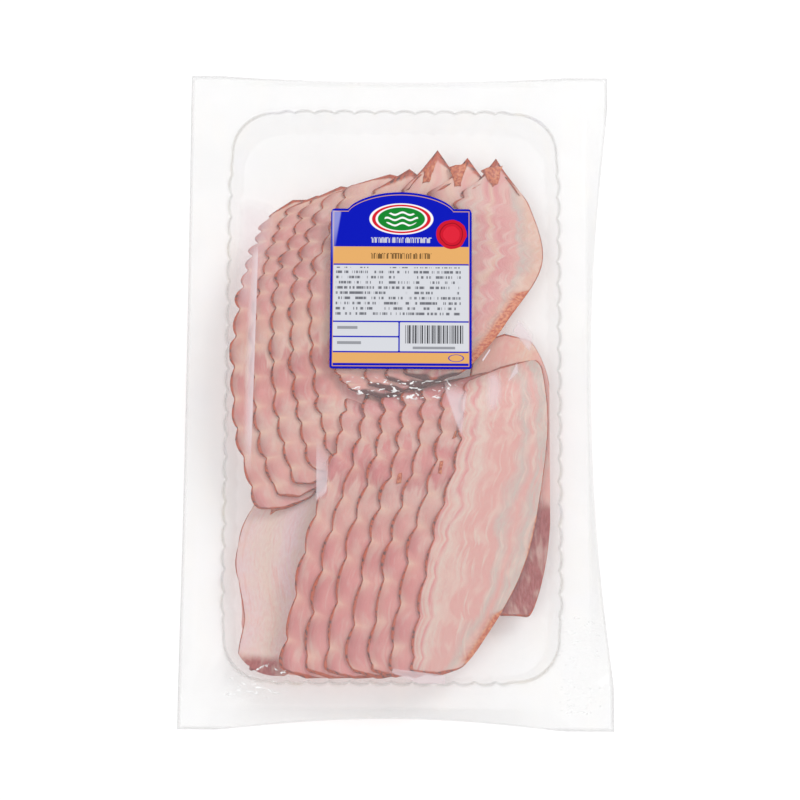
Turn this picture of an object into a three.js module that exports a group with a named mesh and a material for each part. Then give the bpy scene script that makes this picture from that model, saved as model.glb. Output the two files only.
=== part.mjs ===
// A pack of sliced smoked bacon: a clear thermoformed tray, a clear lid film sealed to its flange,
// a paper label on the film, and two shingled stacks of slices with more slices under them.
// Millimetres, +Z up. The pack lies on the tray's floor, with +Y towards the arched end of the label,
// and the origin is the bottom centre of the whole pack.
import * as THREE from "three";

// Driving dimensions of the pack.
const PACK_WIDTH = 230;
const PACK_LENGTH = 358;
const TRAY_HEIGHT = 36;
const PLASTIC = 0.6;
const FILM = 0.35;
const GAP = 0.3;

// The flange outside the seal's crease, which bends down along the sides and stays flat at the corners.
const FLANGE = {
  right: { width: 12.5, bend: 78 },
  top: { width: 5.5, bend: 50 },
  left: { width: 7.5, bend: 25 },
  bottom: { width: 12, bend: 65 },
};
const CREASE_RADIUS = 11;

// The flat ledge round the cavity lies a little lower than the flange.
const LEDGE_INSET = 1.5;
const LEDGE_DROP = 1.2;
const RIM_WIDTH = 184;
const RIM_LENGTH = 318;
const RIM_RADIUS = 24;
const RIM_FILLET = 1;
const DRAFT = THREE.MathUtils.degToRad(11);
const FLOOR_FILLET = 3;
const FLUTE_DEPTH = 1.6;
const FLUTES = { side: 20, end: 9 };
const FLUTE_START = { side: 41, end: 38 };

// The bacon.
const SLICE = 2.5;
const STEP = SLICE + 0.35;
const LAYER_PITCH = SLICE + GAP;
const LAYERS = { upper: 3, lower: 4 };
const LAYER_GROOVE = 1.4;
const LAYER_ROUNDING = 0.4;
const BUNDLE_POINTS = 28;
const BUNDLE_WAVE = 1.2;
const END_SAG = 3;
const SCALLOP_DEPTH = 2.6;
const BACK_WAVE = 0.9;
const END_ROWS = 2;
const END_NARROWING = 0.07;
const LOWER_TIP = 3;
const UNDER_TIP = 4;
const UNDER_ROWS = 10;

// The label.
const LABEL = {
  left: -37,
  right: 40,
  bottom: 14.5,
  shoulder: 103.7,
  archLeft: -27.4,
  archRight: 29.8,
  archTop: 113.1,
  thickness: 0.3,
};

const halfPack = { x: PACK_WIDTH / 2, y: PACK_LENGTH / 2 };
const crease = {
  left: -halfPack.x + FLANGE.left.width,
  right: halfPack.x - FLANGE.right.width,
  bottom: -halfPack.y + FLANGE.bottom.width,
  top: halfPack.y - FLANGE.top.width,
};
const centre = { x: (crease.left + crease.right) / 2, y: (crease.bottom + crease.top) / 2 };
const ledgeLevel = TRAY_HEIGHT - LEDGE_DROP;

const plastic = { color: 0xf2f2f0, roughness: 0.12, metalness: 0, transparent: true, opacity: 0.3 };
const MATERIALS = {
  tray: plastic,
  lid_film: { ...plastic, roughness: 0.08, opacity: 0.2 },
  label: { color: 0x1432a8, roughness: 0.45, metalness: 0 },
  bacon: { color: 0xd9a8a4, roughness: 0.4, metalness: 0 },
  under: { color: 0xcf9a98, roughness: 0.4, metalness: 0 },
};

const group = new THREE.Group();

function add(name, geometry, finish) {
  const mesh = new THREE.Mesh(geometry, new THREE.MeshStandardMaterial(MATERIALS[finish]));
  mesh.name = name;
  mesh.geometry.computeVertexNormals();
  group.add(mesh);
  return mesh;
}

function geometryOf(points, triangles) {
  const geometry = new THREE.BufferGeometry();
  geometry.setAttribute("position", new THREE.Float32BufferAttribute(points.flat(), 3));
  geometry.setIndex(triangles.flat());
  return geometry;
}

// A closed sheet between two grids of points, whose first index runs to +X and second to +Y.
// The cells of the columns for which crossed is true are split along their other diagonal.
function sheet(upper, lower, crossed = () => false) {
  const columns = upper.length;
  const rows = upper[0].length;
  const points = [...upper.flat(), ...lower.flat()];
  const up = (i, j) => i * rows + j;
  const down = (i, j) => columns * rows + i * rows + j;
  const triangles = [];
  const quad = (a, b, c, d) => triangles.push([a, b, c], [a, c, d]);
  for (let i = 0; i < columns - 1; i++) {
    for (let j = 0; j < rows - 1; j++) {
      if (crossed(i)) {
        quad(up(i + 1, j), up(i + 1, j + 1), up(i, j + 1), up(i, j));
        quad(down(i + 1, j), down(i, j), down(i, j + 1), down(i + 1, j + 1));
      } else {
        quad(up(i, j), up(i + 1, j), up(i + 1, j + 1), up(i, j + 1));
        quad(down(i, j), down(i, j + 1), down(i + 1, j + 1), down(i + 1, j));
      }
    }
  }
  for (let i = 0; i < columns - 1; i++) {
    quad(up(i, 0), down(i, 0), down(i + 1, 0), up(i + 1, 0));
    quad(up(i + 1, rows - 1), down(i + 1, rows - 1), down(i, rows - 1), up(i, rows - 1));
  }
  for (let j = 0; j < rows - 1; j++) {
    quad(up(0, j + 1), down(0, j + 1), down(0, j), up(0, j));
    quad(up(columns - 1, j), down(columns - 1, j), down(columns - 1, j + 1), up(columns - 1, j + 1));
  }
  return geometryOf(points, triangles);
}

// A closed skin through loops of points, from a centre point of the first to one of the last.
// Each loop runs anticlockwise, and its points carry a rising place t, so that loops with
// different numbers of points join.
function skin(loops, firstCentre, lastCentre) {
  const points = [];
  const triangles = [];
  const place = (point) => points.push(point) - 1;
  const numbered = loops.map((loop) => loop.map(({ t, at }) => ({ t, index: place(at) })));
  const next = (loop, i) => (i + 1 < loop.length ? loop[i + 1].t : 4 + loop[0].t);
  for (let n = 0; n + 1 < numbered.length; n++) {
    const [inner, outer] = [numbered[n], numbered[n + 1]];
    let i = 0;
    let j = 0;
    while (i < inner.length || j < outer.length) {
      const [a, b] = [inner[i % inner.length].index, outer[j % outer.length].index];
      const turnsInner = j >= outer.length || (i < inner.length && next(inner, i) <= next(outer, j));
      if (turnsInner) {
        i += 1;
        triangles.push([a, b, inner[i % inner.length].index]);
      } else {
        j += 1;
        triangles.push([a, b, outer[j % outer.length].index]);
      }
    }
  }
  const first = place(firstCentre);
  const last = place(lastCentre);
  const start = numbered[0];
  const end = numbered[numbered.length - 1];
  start.forEach((p, i) => triangles.push([first, p.index, start[(i + 1) % start.length].index]));
  end.forEach((p, i) => triangles.push([last, end[(i + 1) % end.length].index, p.index]));
  return geometryOf(points, triangles);
}

// The four sides of a rounded rectangle, anticlockwise from the right-hand one, and the corner
// that follows each. along is the direction of travel and out points away from the middle.
const SIDES = [
  { name: "right", along: [0, 1], out: [1, 0], long: true },
  { name: "top", along: [-1, 0], out: [0, 1], long: false },
  { name: "left", along: [0, -1], out: [-1, 0], long: true },
  { name: "bottom", along: [1, 0], out: [0, -1], long: false },
];
const CORNER_SHARE = 0.3;

function roundedLoop(box, steps, offsetAt = () => 0) {
  const loop = [];
  const half = { x: box.width / 2 - box.radius, y: box.length / 2 - box.radius };
  SIDES.forEach((side, k) => {
    const run = side.long ? half.y : half.x;
    const count = side.long ? steps.side : steps.end;
    const cornerX = side.out[0] * half.x + side.along[0] * half.x;
    const cornerY = side.out[1] * half.y + side.along[1] * half.y;
    for (let i = 0; i < count; i++) {
      const f = i / count;
      const s = (2 * f - 1) * run;
      const reach = box.radius + offsetAt(side, s, run);
      const x = side.along[0] * s + side.out[0] * (half.x + reach);
      const y = side.along[1] * s + side.out[1] * (half.y + reach);
      loop.push({ t: k + (1 - CORNER_SHARE) * f, at: [centre.x + x, centre.y + y, box.z] });
    }
    for (let i = 0; i < steps.corner; i++) {
      const f = i / steps.corner;
      const angle = ((k + f) * Math.PI) / 2;
      const x = cornerX + box.radius * Math.cos(angle);
      const y = cornerY + box.radius * Math.sin(angle);
      loop.push({ t: k + 1 - CORNER_SHARE * (1 - f), at: [centre.x + x, centre.y + y, box.z] });
    }
  });
  return loop;
}

// How far the flange's outer strip bends down at a place f along its side.
function bendAt(side, f) {
  const inside = Math.min(Math.max(f, 0), 1);
  return THREE.MathUtils.degToRad(FLANGE[side].bend) * (4 * inside * (1 - inside)) ** 0.6;
}

// The section of the bent flange: its crease, and its outer edge, lifted by rise off the plastic.
function creaseOffset(angle, rise) {
  return [rise * Math.tan(angle / 2), rise];
}

function edgeOffset(side, angle, rise) {
  const width = FLANGE[side].width;
  return [
    width * Math.cos(angle) + rise * Math.sin(angle),
    rise * Math.cos(angle) - width * Math.sin(angle),
  ];
}

const COARSE = { side: 20, end: 12, corner: 4 };

function creaseLoop(rise) {
  const box = {
    width: crease.right - crease.left,
    length: crease.top - crease.bottom,
    radius: CREASE_RADIUS,
    z: TRAY_HEIGHT,
  };
  return roundedLoop(box, COARSE).map((point, n) => ({ ...point, ...flangeStation(point, n), rise }));
}

// The side and the place along it of the n-th point of a coarse loop, and its direction outwards.
function flangeStation(point, n) {
  let index = n;
  for (const side of SIDES) {
    const count = side.long ? COARSE.side : COARSE.end;
    if (index < count) return { side, f: index / count, corner: null };
    index -= count;
    if (index < COARSE.corner) return { side, f: 1, corner: index / COARSE.corner };
    index -= COARSE.corner;
  }
  return { side: SIDES[0], f: 0, corner: null };
}

function creaseRing(rise) {
  return creaseLoop(rise).map(({ t, at, side, f, corner }) => {
    const angle = corner === null ? bendAt(side.name, f) : 0;
    const [out, up] = creaseOffset(angle, rise);
    return { t, at: [at[0] + side.out[0] * out, at[1] + side.out[1] * out, at[2] + up] };
  });
}

function edgeRing(rise) {
  return creaseLoop(rise).map(({ t, at, side, f, corner }) => {
    if (corner !== null) return { t, at: flangeCorner(side, corner, rise) };
    const [out, up] = edgeOffset(side.name, bendAt(side.name, f), rise);
    return { t, at: [at[0] + side.out[0] * out, at[1] + side.out[1] * out, at[2] + up] };
  });
}

// The flat corner of the flange after a side: up to the pack's corner, then back along the next side.
function flangeCorner(side, f, rise) {
  const [ox, oy] = side.out;
  const [ax, ay] = side.along;
  const corner = [(ox + ax) * halfPack.x, (oy + ay) * halfPack.y];
  const start = [ax ? arcStart(ax, "x") : corner[0], ay ? arcStart(ay, "y") : corner[1]];
  const end = [ox ? arcStart(ox, "x") : corner[0], oy ? arcStart(oy, "y") : corner[1]];
  const from = f < 0.5 ? start : corner;
  const to = f < 0.5 ? corner : end;
  const share = f < 0.5 ? 2 * f : 2 * f - 1;
  const mix = (i) => from[i] + (to[i] - from[i]) * share;
  return [mix(0), mix(1), TRAY_HEIGHT + rise];
}

// Where the straight part of the crease ends, towards a sign of an axis.
function arcStart(sign, axis) {
  const edges = axis === "x" ? [crease.left, crease.right] : [crease.bottom, crease.top];
  return sign > 0 ? edges[1] - CREASE_RADIUS : edges[0] + CREASE_RADIUS;
}

function coarseRing(inset, radius, z) {
  const width = crease.right - crease.left - 2 * inset;
  const length = crease.top - crease.bottom - 2 * inset;
  return roundedLoop({ width, length, radius, z }, COARSE);
}

function rimRing(z) {
  return roundedLoop({ width: RIM_WIDTH, length: RIM_LENGTH, radius: RIM_RADIUS, z }, COARSE);
}

// A loop of the cavity's wall: flutes bulge outwards along the middle of each side, three points each.
function flutedRing(inset, depth, z) {
  const box = {
    width: RIM_WIDTH - 2 * inset,
    length: RIM_LENGTH - 2 * inset,
    radius: RIM_RADIUS - inset / 2,
    z,
  };
  const half = { side: RIM_LENGTH / 2 - FLUTE_START.side, end: RIM_WIDTH / 2 - FLUTE_START.end };
  const steps = { side: FLUTES.side * 3, end: FLUTES.end * 3, corner: 6 };
  const bulge = (side, s, run) => {
    const count = side.long ? FLUTES.side : FLUTES.end;
    const reach = side.long ? half.side : half.end;
    const fade = Math.min(1, Math.max(0, (run - Math.abs(s)) / (run - reach)));
    return depth * fade * Math.abs(Math.sin(((s / run + 1) / 2) * count * Math.PI));
  };
  return roundedLoop(box, steps, bulge);
}

function wallInset(z) {
  return RIM_FILLET + (ledgeLevel - z) * Math.tan(DRAFT);
}

function tray() {
  const below = PLASTIC;
  const filletTop = PLASTIC + FLOOR_FILLET;
  const floorInset = wallInset(filletTop) + FLOOR_FILLET;
  const inside = [
    flutedRing(floorInset, FLUTE_DEPTH * 0.4, PLASTIC),
    flutedRing(wallInset(filletTop), FLUTE_DEPTH, filletTop),
    flutedRing(RIM_FILLET, FLUTE_DEPTH, ledgeLevel - RIM_FILLET),
    rimRing(ledgeLevel),
    coarseRing(LEDGE_INSET + 0.6, CREASE_RADIUS - 1.5, ledgeLevel),
    coarseRing(LEDGE_INSET, CREASE_RADIUS - 1, TRAY_HEIGHT),
    creaseRing(0),
    edgeRing(0),
  ];
  const outside = [
    edgeRing(-below),
    creaseRing(-below),
    coarseRing(LEDGE_INSET - below, CREASE_RADIUS - 0.5, TRAY_HEIGHT - below),
    coarseRing(LEDGE_INSET, CREASE_RADIUS - 1, ledgeLevel - below),
    rimOutside(ledgeLevel - below),
    flutedRing(RIM_FILLET - below, FLUTE_DEPTH, ledgeLevel - RIM_FILLET - below),
    flutedRing(wallInset(filletTop) - below, FLUTE_DEPTH, filletTop - below / 2),
    flutedRing(floorInset - below / 2, FLUTE_DEPTH * 0.4, 0),
  ];
  return skin([...inside, ...outside], [centre.x, centre.y, PLASTIC], [centre.x, centre.y, 0]);
}

// Under the ledge the wall starts outside its flutes.
function rimOutside(z) {
  const grow = 2 * (FLUTE_DEPTH + PLASTIC);
  const box = { width: RIM_WIDTH + grow, length: RIM_LENGTH + grow, radius: RIM_RADIUS + grow / 2, z };
  return roundedLoop(box, COARSE);
}

// Heights over the pack, kept on a fine grid, to lay one thing on another.
class HeightMap {
  constructor(cell = 2) {
    this.cell = cell;
    this.columns = Math.ceil(PACK_WIDTH / cell) + 1;
    this.rows = Math.ceil(PACK_LENGTH / cell) + 1;
    this.heights = new Float64Array(this.columns * this.rows);
  }

  column(x) {
    return (x + halfPack.x) / this.cell;
  }

  row(y) {
    return (y + halfPack.y) / this.cell;
  }

  // Raises the map to a mesh's highest surface.
  cover(geometry) {
    const position = geometry.getAttribute("position");
    const index = geometry.index.array;
    const corner = (n) => new THREE.Vector3().fromBufferAttribute(position, n);
    for (let n = 0; n < index.length; n += 3) {
      this.coverTriangle(corner(index[n]), corner(index[n + 1]), corner(index[n + 2]));
    }
  }

  coverTriangle(a, b, c) {
    const area = (b.x - a.x) * (c.y - a.y) - (c.x - a.x) * (b.y - a.y);
    if (Math.abs(area) < 1e-9) return;
    const columns = [a, b, c].map((p) => this.column(p.x));
    const rows = [a, b, c].map((p) => this.row(p.y));
    for (let i = Math.ceil(Math.min(...columns)); i <= Math.max(...columns); i++) {
      for (let j = Math.ceil(Math.min(...rows)); j <= Math.max(...rows); j++) {
        const x = i * this.cell - halfPack.x;
        const y = j * this.cell - halfPack.y;
        const toB = ((x - a.x) * (c.y - a.y) - (c.x - a.x) * (y - a.y)) / area;
        const toC = ((b.x - a.x) * (y - a.y) - (x - a.x) * (b.y - a.y)) / area;
        if (toB < 0 || toC < 0 || toB + toC > 1) continue;
        const z = a.z + toB * (b.z - a.z) + toC * (c.z - a.z);
        const n = i * this.rows + j;
        this.heights[n] = Math.max(this.heights[n], z);
      }
    }
  }

  highest(x, y, reachX, reachY) {
    const from = { i: Math.floor(this.column(x - reachX)), j: Math.floor(this.row(y - reachY)) };
    const to = { i: Math.ceil(this.column(x + reachX)), j: Math.ceil(this.row(y + reachY)) };
    let best = 0;
    for (let i = Math.max(from.i, 0); i <= Math.min(to.i, this.columns - 1); i++) {
      for (let j = Math.max(from.j, 0); j <= Math.min(to.j, this.rows - 1); j++) {
        best = Math.max(best, this.heights[i * this.rows + j]);
      }
    }
    return best;
  }
}

// Keeps a point of the bacon inside the tray's wall at its height.
function insideWall([x, y, z]) {
  const fillet = Math.max(0, PLASTIC + FLOOR_FILLET - z);
  const inset = wallInset(Math.min(z, ledgeLevel)) + fillet + 2 * GAP;
  const half = { x: RIM_WIDTH / 2 - inset, y: RIM_LENGTH / 2 - inset };
  const radius = RIM_RADIUS;
  let dx = THREE.MathUtils.clamp(x - centre.x, -half.x, half.x);
  let dy = THREE.MathUtils.clamp(y - centre.y, -half.y, half.y);
  const overX = Math.abs(dx) - (half.x - radius);
  const overY = Math.abs(dy) - (half.y - radius);
  const far = Math.hypot(overX, overY);
  if (overX > 0 && overY > 0 && far > radius) {
    dx = Math.sign(dx) * (half.x - radius + (overX * radius) / far);
    dy = Math.sign(dy) * (half.y - radius + (overY * radius) / far);
  }
  return [centre.x + dx, centre.y + dy, z];
}

function bundleTop(layers) {
  return PLASTIC + GAP + layers * LAYER_PITCH - GAP;
}

// The slices under each stack, piled flush, with a groove between each two.
function bundle(outline, layers) {
  const curve = new THREE.CatmullRomCurve3(outline.map(([x, y]) => new THREE.Vector3(x, y, 0)), true);
  const points = curve.getPoints(BUNDLE_POINTS).slice(0, BUNDLE_POINTS);
  const middle = points.reduce((sum, p) => sum.add(p), new THREE.Vector3()).divideScalar(BUNDLE_POINTS);
  const ring = (inset, z, layer) =>
    points.map((p, n) => {
      const uneven = BUNDLE_WAVE * Math.sin(2.3 * n + 1.7 * layer);
      const away = p.clone().sub(middle);
      const at = p.clone().add(away.setLength(uneven - inset));
      return { t: (4 * n) / BUNDLE_POINTS, at: insideWall([at.x, at.y, z]) };
    });
  const bottom = PLASTIC + GAP;
  const loops = [];
  for (let layer = 0; layer < layers; layer++) {
    const low = bottom + layer * LAYER_PITCH;
    loops.push(ring(0, low + LAYER_ROUNDING, layer));
    loops.push(ring(0, low + SLICE - LAYER_ROUNDING / 2, layer));
    if (layer + 1 < layers) loops.push(ring(LAYER_GROOVE, low + LAYER_PITCH - GAP / 2, layer + 0.5));
  }
  const top = bundleTop(layers);
  const upward = [ring(LAYER_GROOVE, bottom, 0), ...loops, ring(LAYER_GROOVE, top, layers - 1)];
  return skin(upward.reverse(), [middle.x, middle.y, top], [middle.x, middle.y, bottom]);
}

// The outline of one slice as two edges, each a smooth curve through a few points from its lower end
// to its upper end. The left edge has the scallops of the rib side.
function sliceGrid({ left, right, scallops, tip }, rows) {
  const curve = (points) => new THREE.CatmullRomCurve3(points.map(([x, y]) => new THREE.Vector3(x, y, 0)));
  const leftEdge = curve(left).getPoints(rows);
  const rightEdge = curve(right).getPoints(rows);
  const grid = [[], [], []];
  for (let j = 0; j <= rows; j++) {
    const f = j / rows;
    const across = rightEdge[j].clone().sub(leftEdge[j]);
    const unit = across.clone().normalize();
    const scallop = scallops ? SCALLOP_DEPTH * Math.abs(Math.sin(f * scallops * Math.PI)) : 0;
    const wave = BACK_WAVE * Math.sin(9 * f);
    const end = END_NARROWING * Math.max(0, END_ROWS - Math.min(j, rows - j));
    const from = leftEdge[j].clone().addScaledVector(unit, -scallop).addScaledVector(across, end);
    const to = rightEdge[j].clone().addScaledVector(unit, wave).addScaledVector(across, -end);
    const middle = from.clone().lerp(to, 0.5);
    if (j === rows) middle.y += tip;
    if (j === 0) middle.y -= LOWER_TIP;
    grid[0].push([from.x, from.y]);
    grid[1].push([middle.x, middle.y]);
    grid[2].push([to.x, to.y]);
  }
  return grid;
}

// A stack: slices laid like shingles, each on the one to its left. They lie in slanting planes a
// slice apart, so their left edges are high and their right edges low, and the stack's ends sag.
// The upper stack's last slices are lifted at their lower ends, over the ends of the lower stack.
function stackHeight(stack, { number, lift }, x, y) {
  const place = 1 + (x - stack.start - stack.lean * y) / stack.pitch;
  const fromMiddle = (y - stack.middle) / stack.halfLength;
  const lifted = lift * (1 - THREE.MathUtils.smoothstep(y, LIFT_FROM, LIFT_TO));
  return STEP * (number - place) - END_SAG * fromMiddle * fromMiddle + lifted;
}

function mixPoints(first, last, share) {
  return first.map(([x, y], n) => [x + (last[n][0] - x) * share, y + (last[n][1] - y) * share]);
}

function* slicesOf(stack) {
  for (const run of stack.runs) {
    for (let number = run.from; number <= run.to; number++) {
      const share = (number - run.from) / (run.to - run.from);
      const left = mixPoints(run.first.left, run.last.left, share);
      const right = mixPoints(run.first.right, run.last.right, share);
      const scallops = stack.scallops + 0.15 * Math.sin(2 * number);
      const tip = run.tips[number - run.from];
      yield { number, lift: run.lift, grid: sliceGrid({ left, right, scallops, tip }, stack.rows) };
    }
  }
}

function layStack(stack, name, restsOn) {
  const slices = [...slicesOf(stack)];
  const raw = (slice) => slice.grid.flat().map(([x, y]) => stackHeight(stack, slice, x, y));
  const base = restsOn - Math.min(...slices.flatMap(raw));
  for (const slice of slices) {
    const face = (thickness) =>
      slice.grid.map((column) =>
        column.map(([x, y]) => {
          const low = base + stackHeight(stack, slice, x, y);
          const [wallX, wallY] = insideWall([x, y, low]);
          return [wallX, wallY, low + thickness];
        }),
      );
    heap.cover(add(`${name}_${slice.number}`, sheet(face(SLICE), face(0)), "bacon").geometry);
  }
}

function underSlice(name, edges) {
  const grid = sliceGrid({ ...edges, scallops: 0, tip: UNDER_TIP }, UNDER_ROWS);
  const face = (z) => grid.map((column) => column.map(([x, y]) => insideWall([x, y, z])));
  const low = bundleTop(LAYERS.lower) + GAP;
  heap.cover(add(name, sheet(face(low + SLICE), face(low)), "under").geometry);
}

const LIFT_FROM = 15;
const LIFT_TO = 75;

const UPPER_STACK = {
  start: -84,
  lean: 0.03,
  pitch: 12.7,
  middle: 40,
  halfLength: 90,
  scallops: 10,
  rows: 30,
  runs: [
    {
      from: 1,
      to: 5,
      tips: [4, 3, 5, 3, 5],
      lift: 0,
      first: {
        left: [[-75, -61], [-88, -8], [-85, 59], [-72, 103]],
        right: [[-46, -51], [-38, -1], [-38, 59], [-43, 115]],
      },
      last: {
        left: [[-36, -33], [-45, 2], [-46, 62], [-27, 121]],
        right: [[-28, -29], [-23, 0], [2, 59], [19, 125]],
      },
    },
    {
      from: 6,
      to: 9,
      tips: [13, 23.5, 18.5, 17.5],
      lift: 3.2,
      first: {
        left: [[-25, 3], [-35, 20], [-24, 70], [-15, 118]],
        right: [[8, 2], [18, 31], [24, 70], [30, 118]],
      },
      last: {
        left: [[3, 11], [17, 43], [23, 82], [40, 122]],
        right: [[34, 12], [59, 43], [80, 78], [70, 119]],
      },
    },
  ],
};

const LOWER_STACK = {
  start: -26,
  lean: 0.24,
  pitch: 11.3,
  middle: -50,
  halfLength: 80,
  scallops: 8,
  rows: 24,
  runs: [
    {
      from: 1,
      to: 7,
      tips: [1.2, 0.8, 1.2, 0.8, 1.2, 0.8, 1.2],
      lift: 0,
      first: {
        left: [[-61, -148], [-48, -77], [-33, -28], [-25, -3]],
        right: [[-23, -152], [-9, -108], [2, -60], [12, -20]],
      },
      last: {
        left: [[8, -148], [19, -82], [34, -28], [35, 3]],
        right: [[37, -146], [70, -87], [82, -23], [77, 25]],
      },
    },
  ],
};

const UNDER_SLICES = {
  left: {
    left: [[-88, -148], [-82, -119], [-87, -87], [-84, -62]],
    right: [[-58, -150], [-46, -119], [-46, -87], [-46, -62]],
  },
  right: {
    left: [[38, -108], [38, -55], [39, -1], [42, 34]],
    right: [[76, -119], [84, -55], [85, -1], [76, 36]],
  },
};

// The outlines of the slices under the two stacks, anticlockwise.
const UPPER_BUNDLE = [
  [38, 24], [58, 62], [56, 106], [10, 114],
  [-40, 108], [-74, 92], [-84, 40], [-80, -26],
];
const LOWER_BUNDLE = [
  [-78, -62], [-84, -110], [-76, -142], [-20, -150], [24, -144],
  [56, -106], [72, -50], [70, -8], [30, -12], [-30, -36],
];

// The lid film: flat over the flange and ledge, bent down with the flange's outer strip, and drawn
// taut over whatever stands higher inside.
const TAUT_PASSES = 200;

function filmLines() {
  const inner = (from, to, count) =>
    Array.from({ length: count + 1 }, (_, n) => from + ((to - from) * n) / count);
  return {
    xs: [crease.left, ...inner(arcStart(-1, "x"), arcStart(1, "x"), COARSE.end), crease.right],
    ys: [crease.bottom, ...inner(arcStart(-1, "y"), arcStart(1, "y"), COARSE.side), crease.top],
  };
}

function tautHeights(xs, ys) {
  const reach = { x: xs[2] - xs[1], y: ys[2] - ys[1] };
  const held = xs.map((x) => ys.map((y) => Math.max(TRAY_HEIGHT, heap.highest(x, y, reach.x, reach.y))));
  const heights = held.map((column) => [...column]);
  for (let pass = 0; pass < TAUT_PASSES; pass++) {
    for (let i = 1; i < xs.length - 1; i++) {
      for (let j = 1; j < ys.length - 1; j++) {
        const around = heights[i - 1][j] + heights[i + 1][j] + heights[i][j - 1] + heights[i][j + 1];
        heights[i][j] = Math.max(held[i][j], around / 4);
      }
    }
  }
  return heights;
}

function lidFilm() {
  const { xs, ys } = filmLines();
  const heights = tautHeights(xs, ys);
  const straight = (value, low, high) => (value - low) / (high - low);
  const face = (rise) => {
    const grid = xs.map((x, i) => ys.map((y, j) => [x, y, heights[i][j] + rise]));
    const bent = (side, f) => {
      const angle = bendAt(side, f);
      return { crease: creaseOffset(angle, rise), edge: edgeOffset(side, angle, rise) };
    };
    const column = (side, sign) => {
      const x = crease[side];
      return ys.map((y, j) => {
        const f = straight(y, arcStart(-1, "y"), arcStart(1, "y"));
        const { crease: fold, edge } = bent(side, f);
        grid[side === "left" ? 0 : xs.length - 1][j] = [x + sign * fold[0], y, TRAY_HEIGHT + fold[1]];
        return [x + sign * edge[0], y, TRAY_HEIGHT + edge[1]];
      });
    };
    const row = (side, sign) => {
      const y = crease[side];
      return xs.map((x, i) => {
        const f = straight(x, arcStart(-1, "x"), arcStart(1, "x"));
        const { crease: fold, edge } = bent(side, f);
        grid[i][side === "bottom" ? 0 : ys.length - 1] = [x, y + sign * fold[0], TRAY_HEIGHT + fold[1]];
        return [x, y + sign * edge[0], TRAY_HEIGHT + edge[1]];
      });
    };
    const [left, right] = [column("left", -1), column("right", 1)];
    const [bottom, top] = [row("bottom", -1), row("top", 1)];
    const corner = (sx, sy) => [sx * halfPack.x, sy * halfPack.y, TRAY_HEIGHT + rise];
    return [
      [corner(-1, -1), ...left, corner(-1, 1)],
      ...grid.map((line, i) => [bottom[i], ...line, top[i]]),
      [corner(1, -1), ...right, corner(1, 1)],
    ];
  };
  const strip = (i) => i === 0 || i === xs.length;
  return sheet(face(GAP + FILM), face(GAP), strip);
}

const ARCH_POINTS = 8;
const LABEL_ROWS = 6;
const LABEL_REACH = { x: 9, y: 16 };

// The label's upper edge: square shoulders with a low arch between them, steep at its feet.
function labelTop(x) {
  const middle = (LABEL.archLeft + LABEL.archRight) / 2;
  const half = (LABEL.archRight - LABEL.archLeft) / 2;
  const off = (x - middle) / half;
  if (Math.abs(off) >= 1) return LABEL.shoulder;
  return LABEL.shoulder + (LABEL.archTop - LABEL.shoulder) * (1 - off * off) ** 0.7;
}

function label(film) {
  const surface = new HeightMap();
  surface.cover(film);
  const archWidth = LABEL.archRight - LABEL.archLeft;
  const arch = Array.from(
    { length: ARCH_POINTS + 1 },
    (_, n) => LABEL.archLeft + (archWidth * n) / ARCH_POINTS,
  );
  const xs = [LABEL.left, LABEL.archLeft - 1, ...arch, LABEL.archRight + 1, LABEL.right];
  const face = (rise) =>
    xs.map((x) => {
      const top = labelTop(x);
      return Array.from({ length: LABEL_ROWS + 1 }, (_, n) => {
        const y = LABEL.bottom + ((top - LABEL.bottom) * n) / LABEL_ROWS;
        return [x, y, surface.highest(x, y, LABEL_REACH.x, LABEL_REACH.y) + GAP + rise];
      });
    });
  return sheet(face(LABEL.thickness), face(0));
}

const heap = new HeightMap();
const supported = bundleTop(LAYERS.lower) + SLICE + 2 * GAP;
add("tray", tray(), "tray");
add("upper_bundle", bundle(UPPER_BUNDLE, LAYERS.upper), "under");
add("lower_bundle", bundle(LOWER_BUNDLE, LAYERS.lower), "under");
underSlice("under_slice_left", UNDER_SLICES.left);
underSlice("under_slice_right", UNDER_SLICES.right);
layStack(UPPER_STACK, "upper_slice", bundleTop(LAYERS.upper) + SLICE + 2 * GAP);
layStack(LOWER_STACK, "lower_slice", supported);
const film = add("lid_film", lidFilm(), "lid_film");
add("label", label(film.geometry), "label");

export default group;
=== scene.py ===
import math

import bmesh
import bpy
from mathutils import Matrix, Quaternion, Vector, noise
from mathutils.bvhtree import BVHTree
from mathutils.kdtree import KDTree


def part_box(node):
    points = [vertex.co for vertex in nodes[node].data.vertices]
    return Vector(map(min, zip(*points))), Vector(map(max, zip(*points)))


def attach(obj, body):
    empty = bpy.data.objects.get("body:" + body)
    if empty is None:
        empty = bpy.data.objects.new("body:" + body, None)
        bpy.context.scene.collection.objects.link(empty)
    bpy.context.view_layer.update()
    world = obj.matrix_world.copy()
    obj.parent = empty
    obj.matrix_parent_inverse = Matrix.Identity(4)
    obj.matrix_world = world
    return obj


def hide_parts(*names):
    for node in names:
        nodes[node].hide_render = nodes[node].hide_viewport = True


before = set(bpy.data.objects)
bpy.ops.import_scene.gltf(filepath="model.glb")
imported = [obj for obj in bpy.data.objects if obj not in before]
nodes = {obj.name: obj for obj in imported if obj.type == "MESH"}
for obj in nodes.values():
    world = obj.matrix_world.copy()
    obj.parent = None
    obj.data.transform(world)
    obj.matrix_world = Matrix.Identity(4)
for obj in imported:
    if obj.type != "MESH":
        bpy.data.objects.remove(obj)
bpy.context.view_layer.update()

MM = 0.001

# The camera stands over the near end of the pack and looks down, tilted a little.
CAMERA = {"lens": 100, "distance": 1200, "elevation": 80, "aim": (1.3, -2.4, 36), "roll": 0.33}

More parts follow.
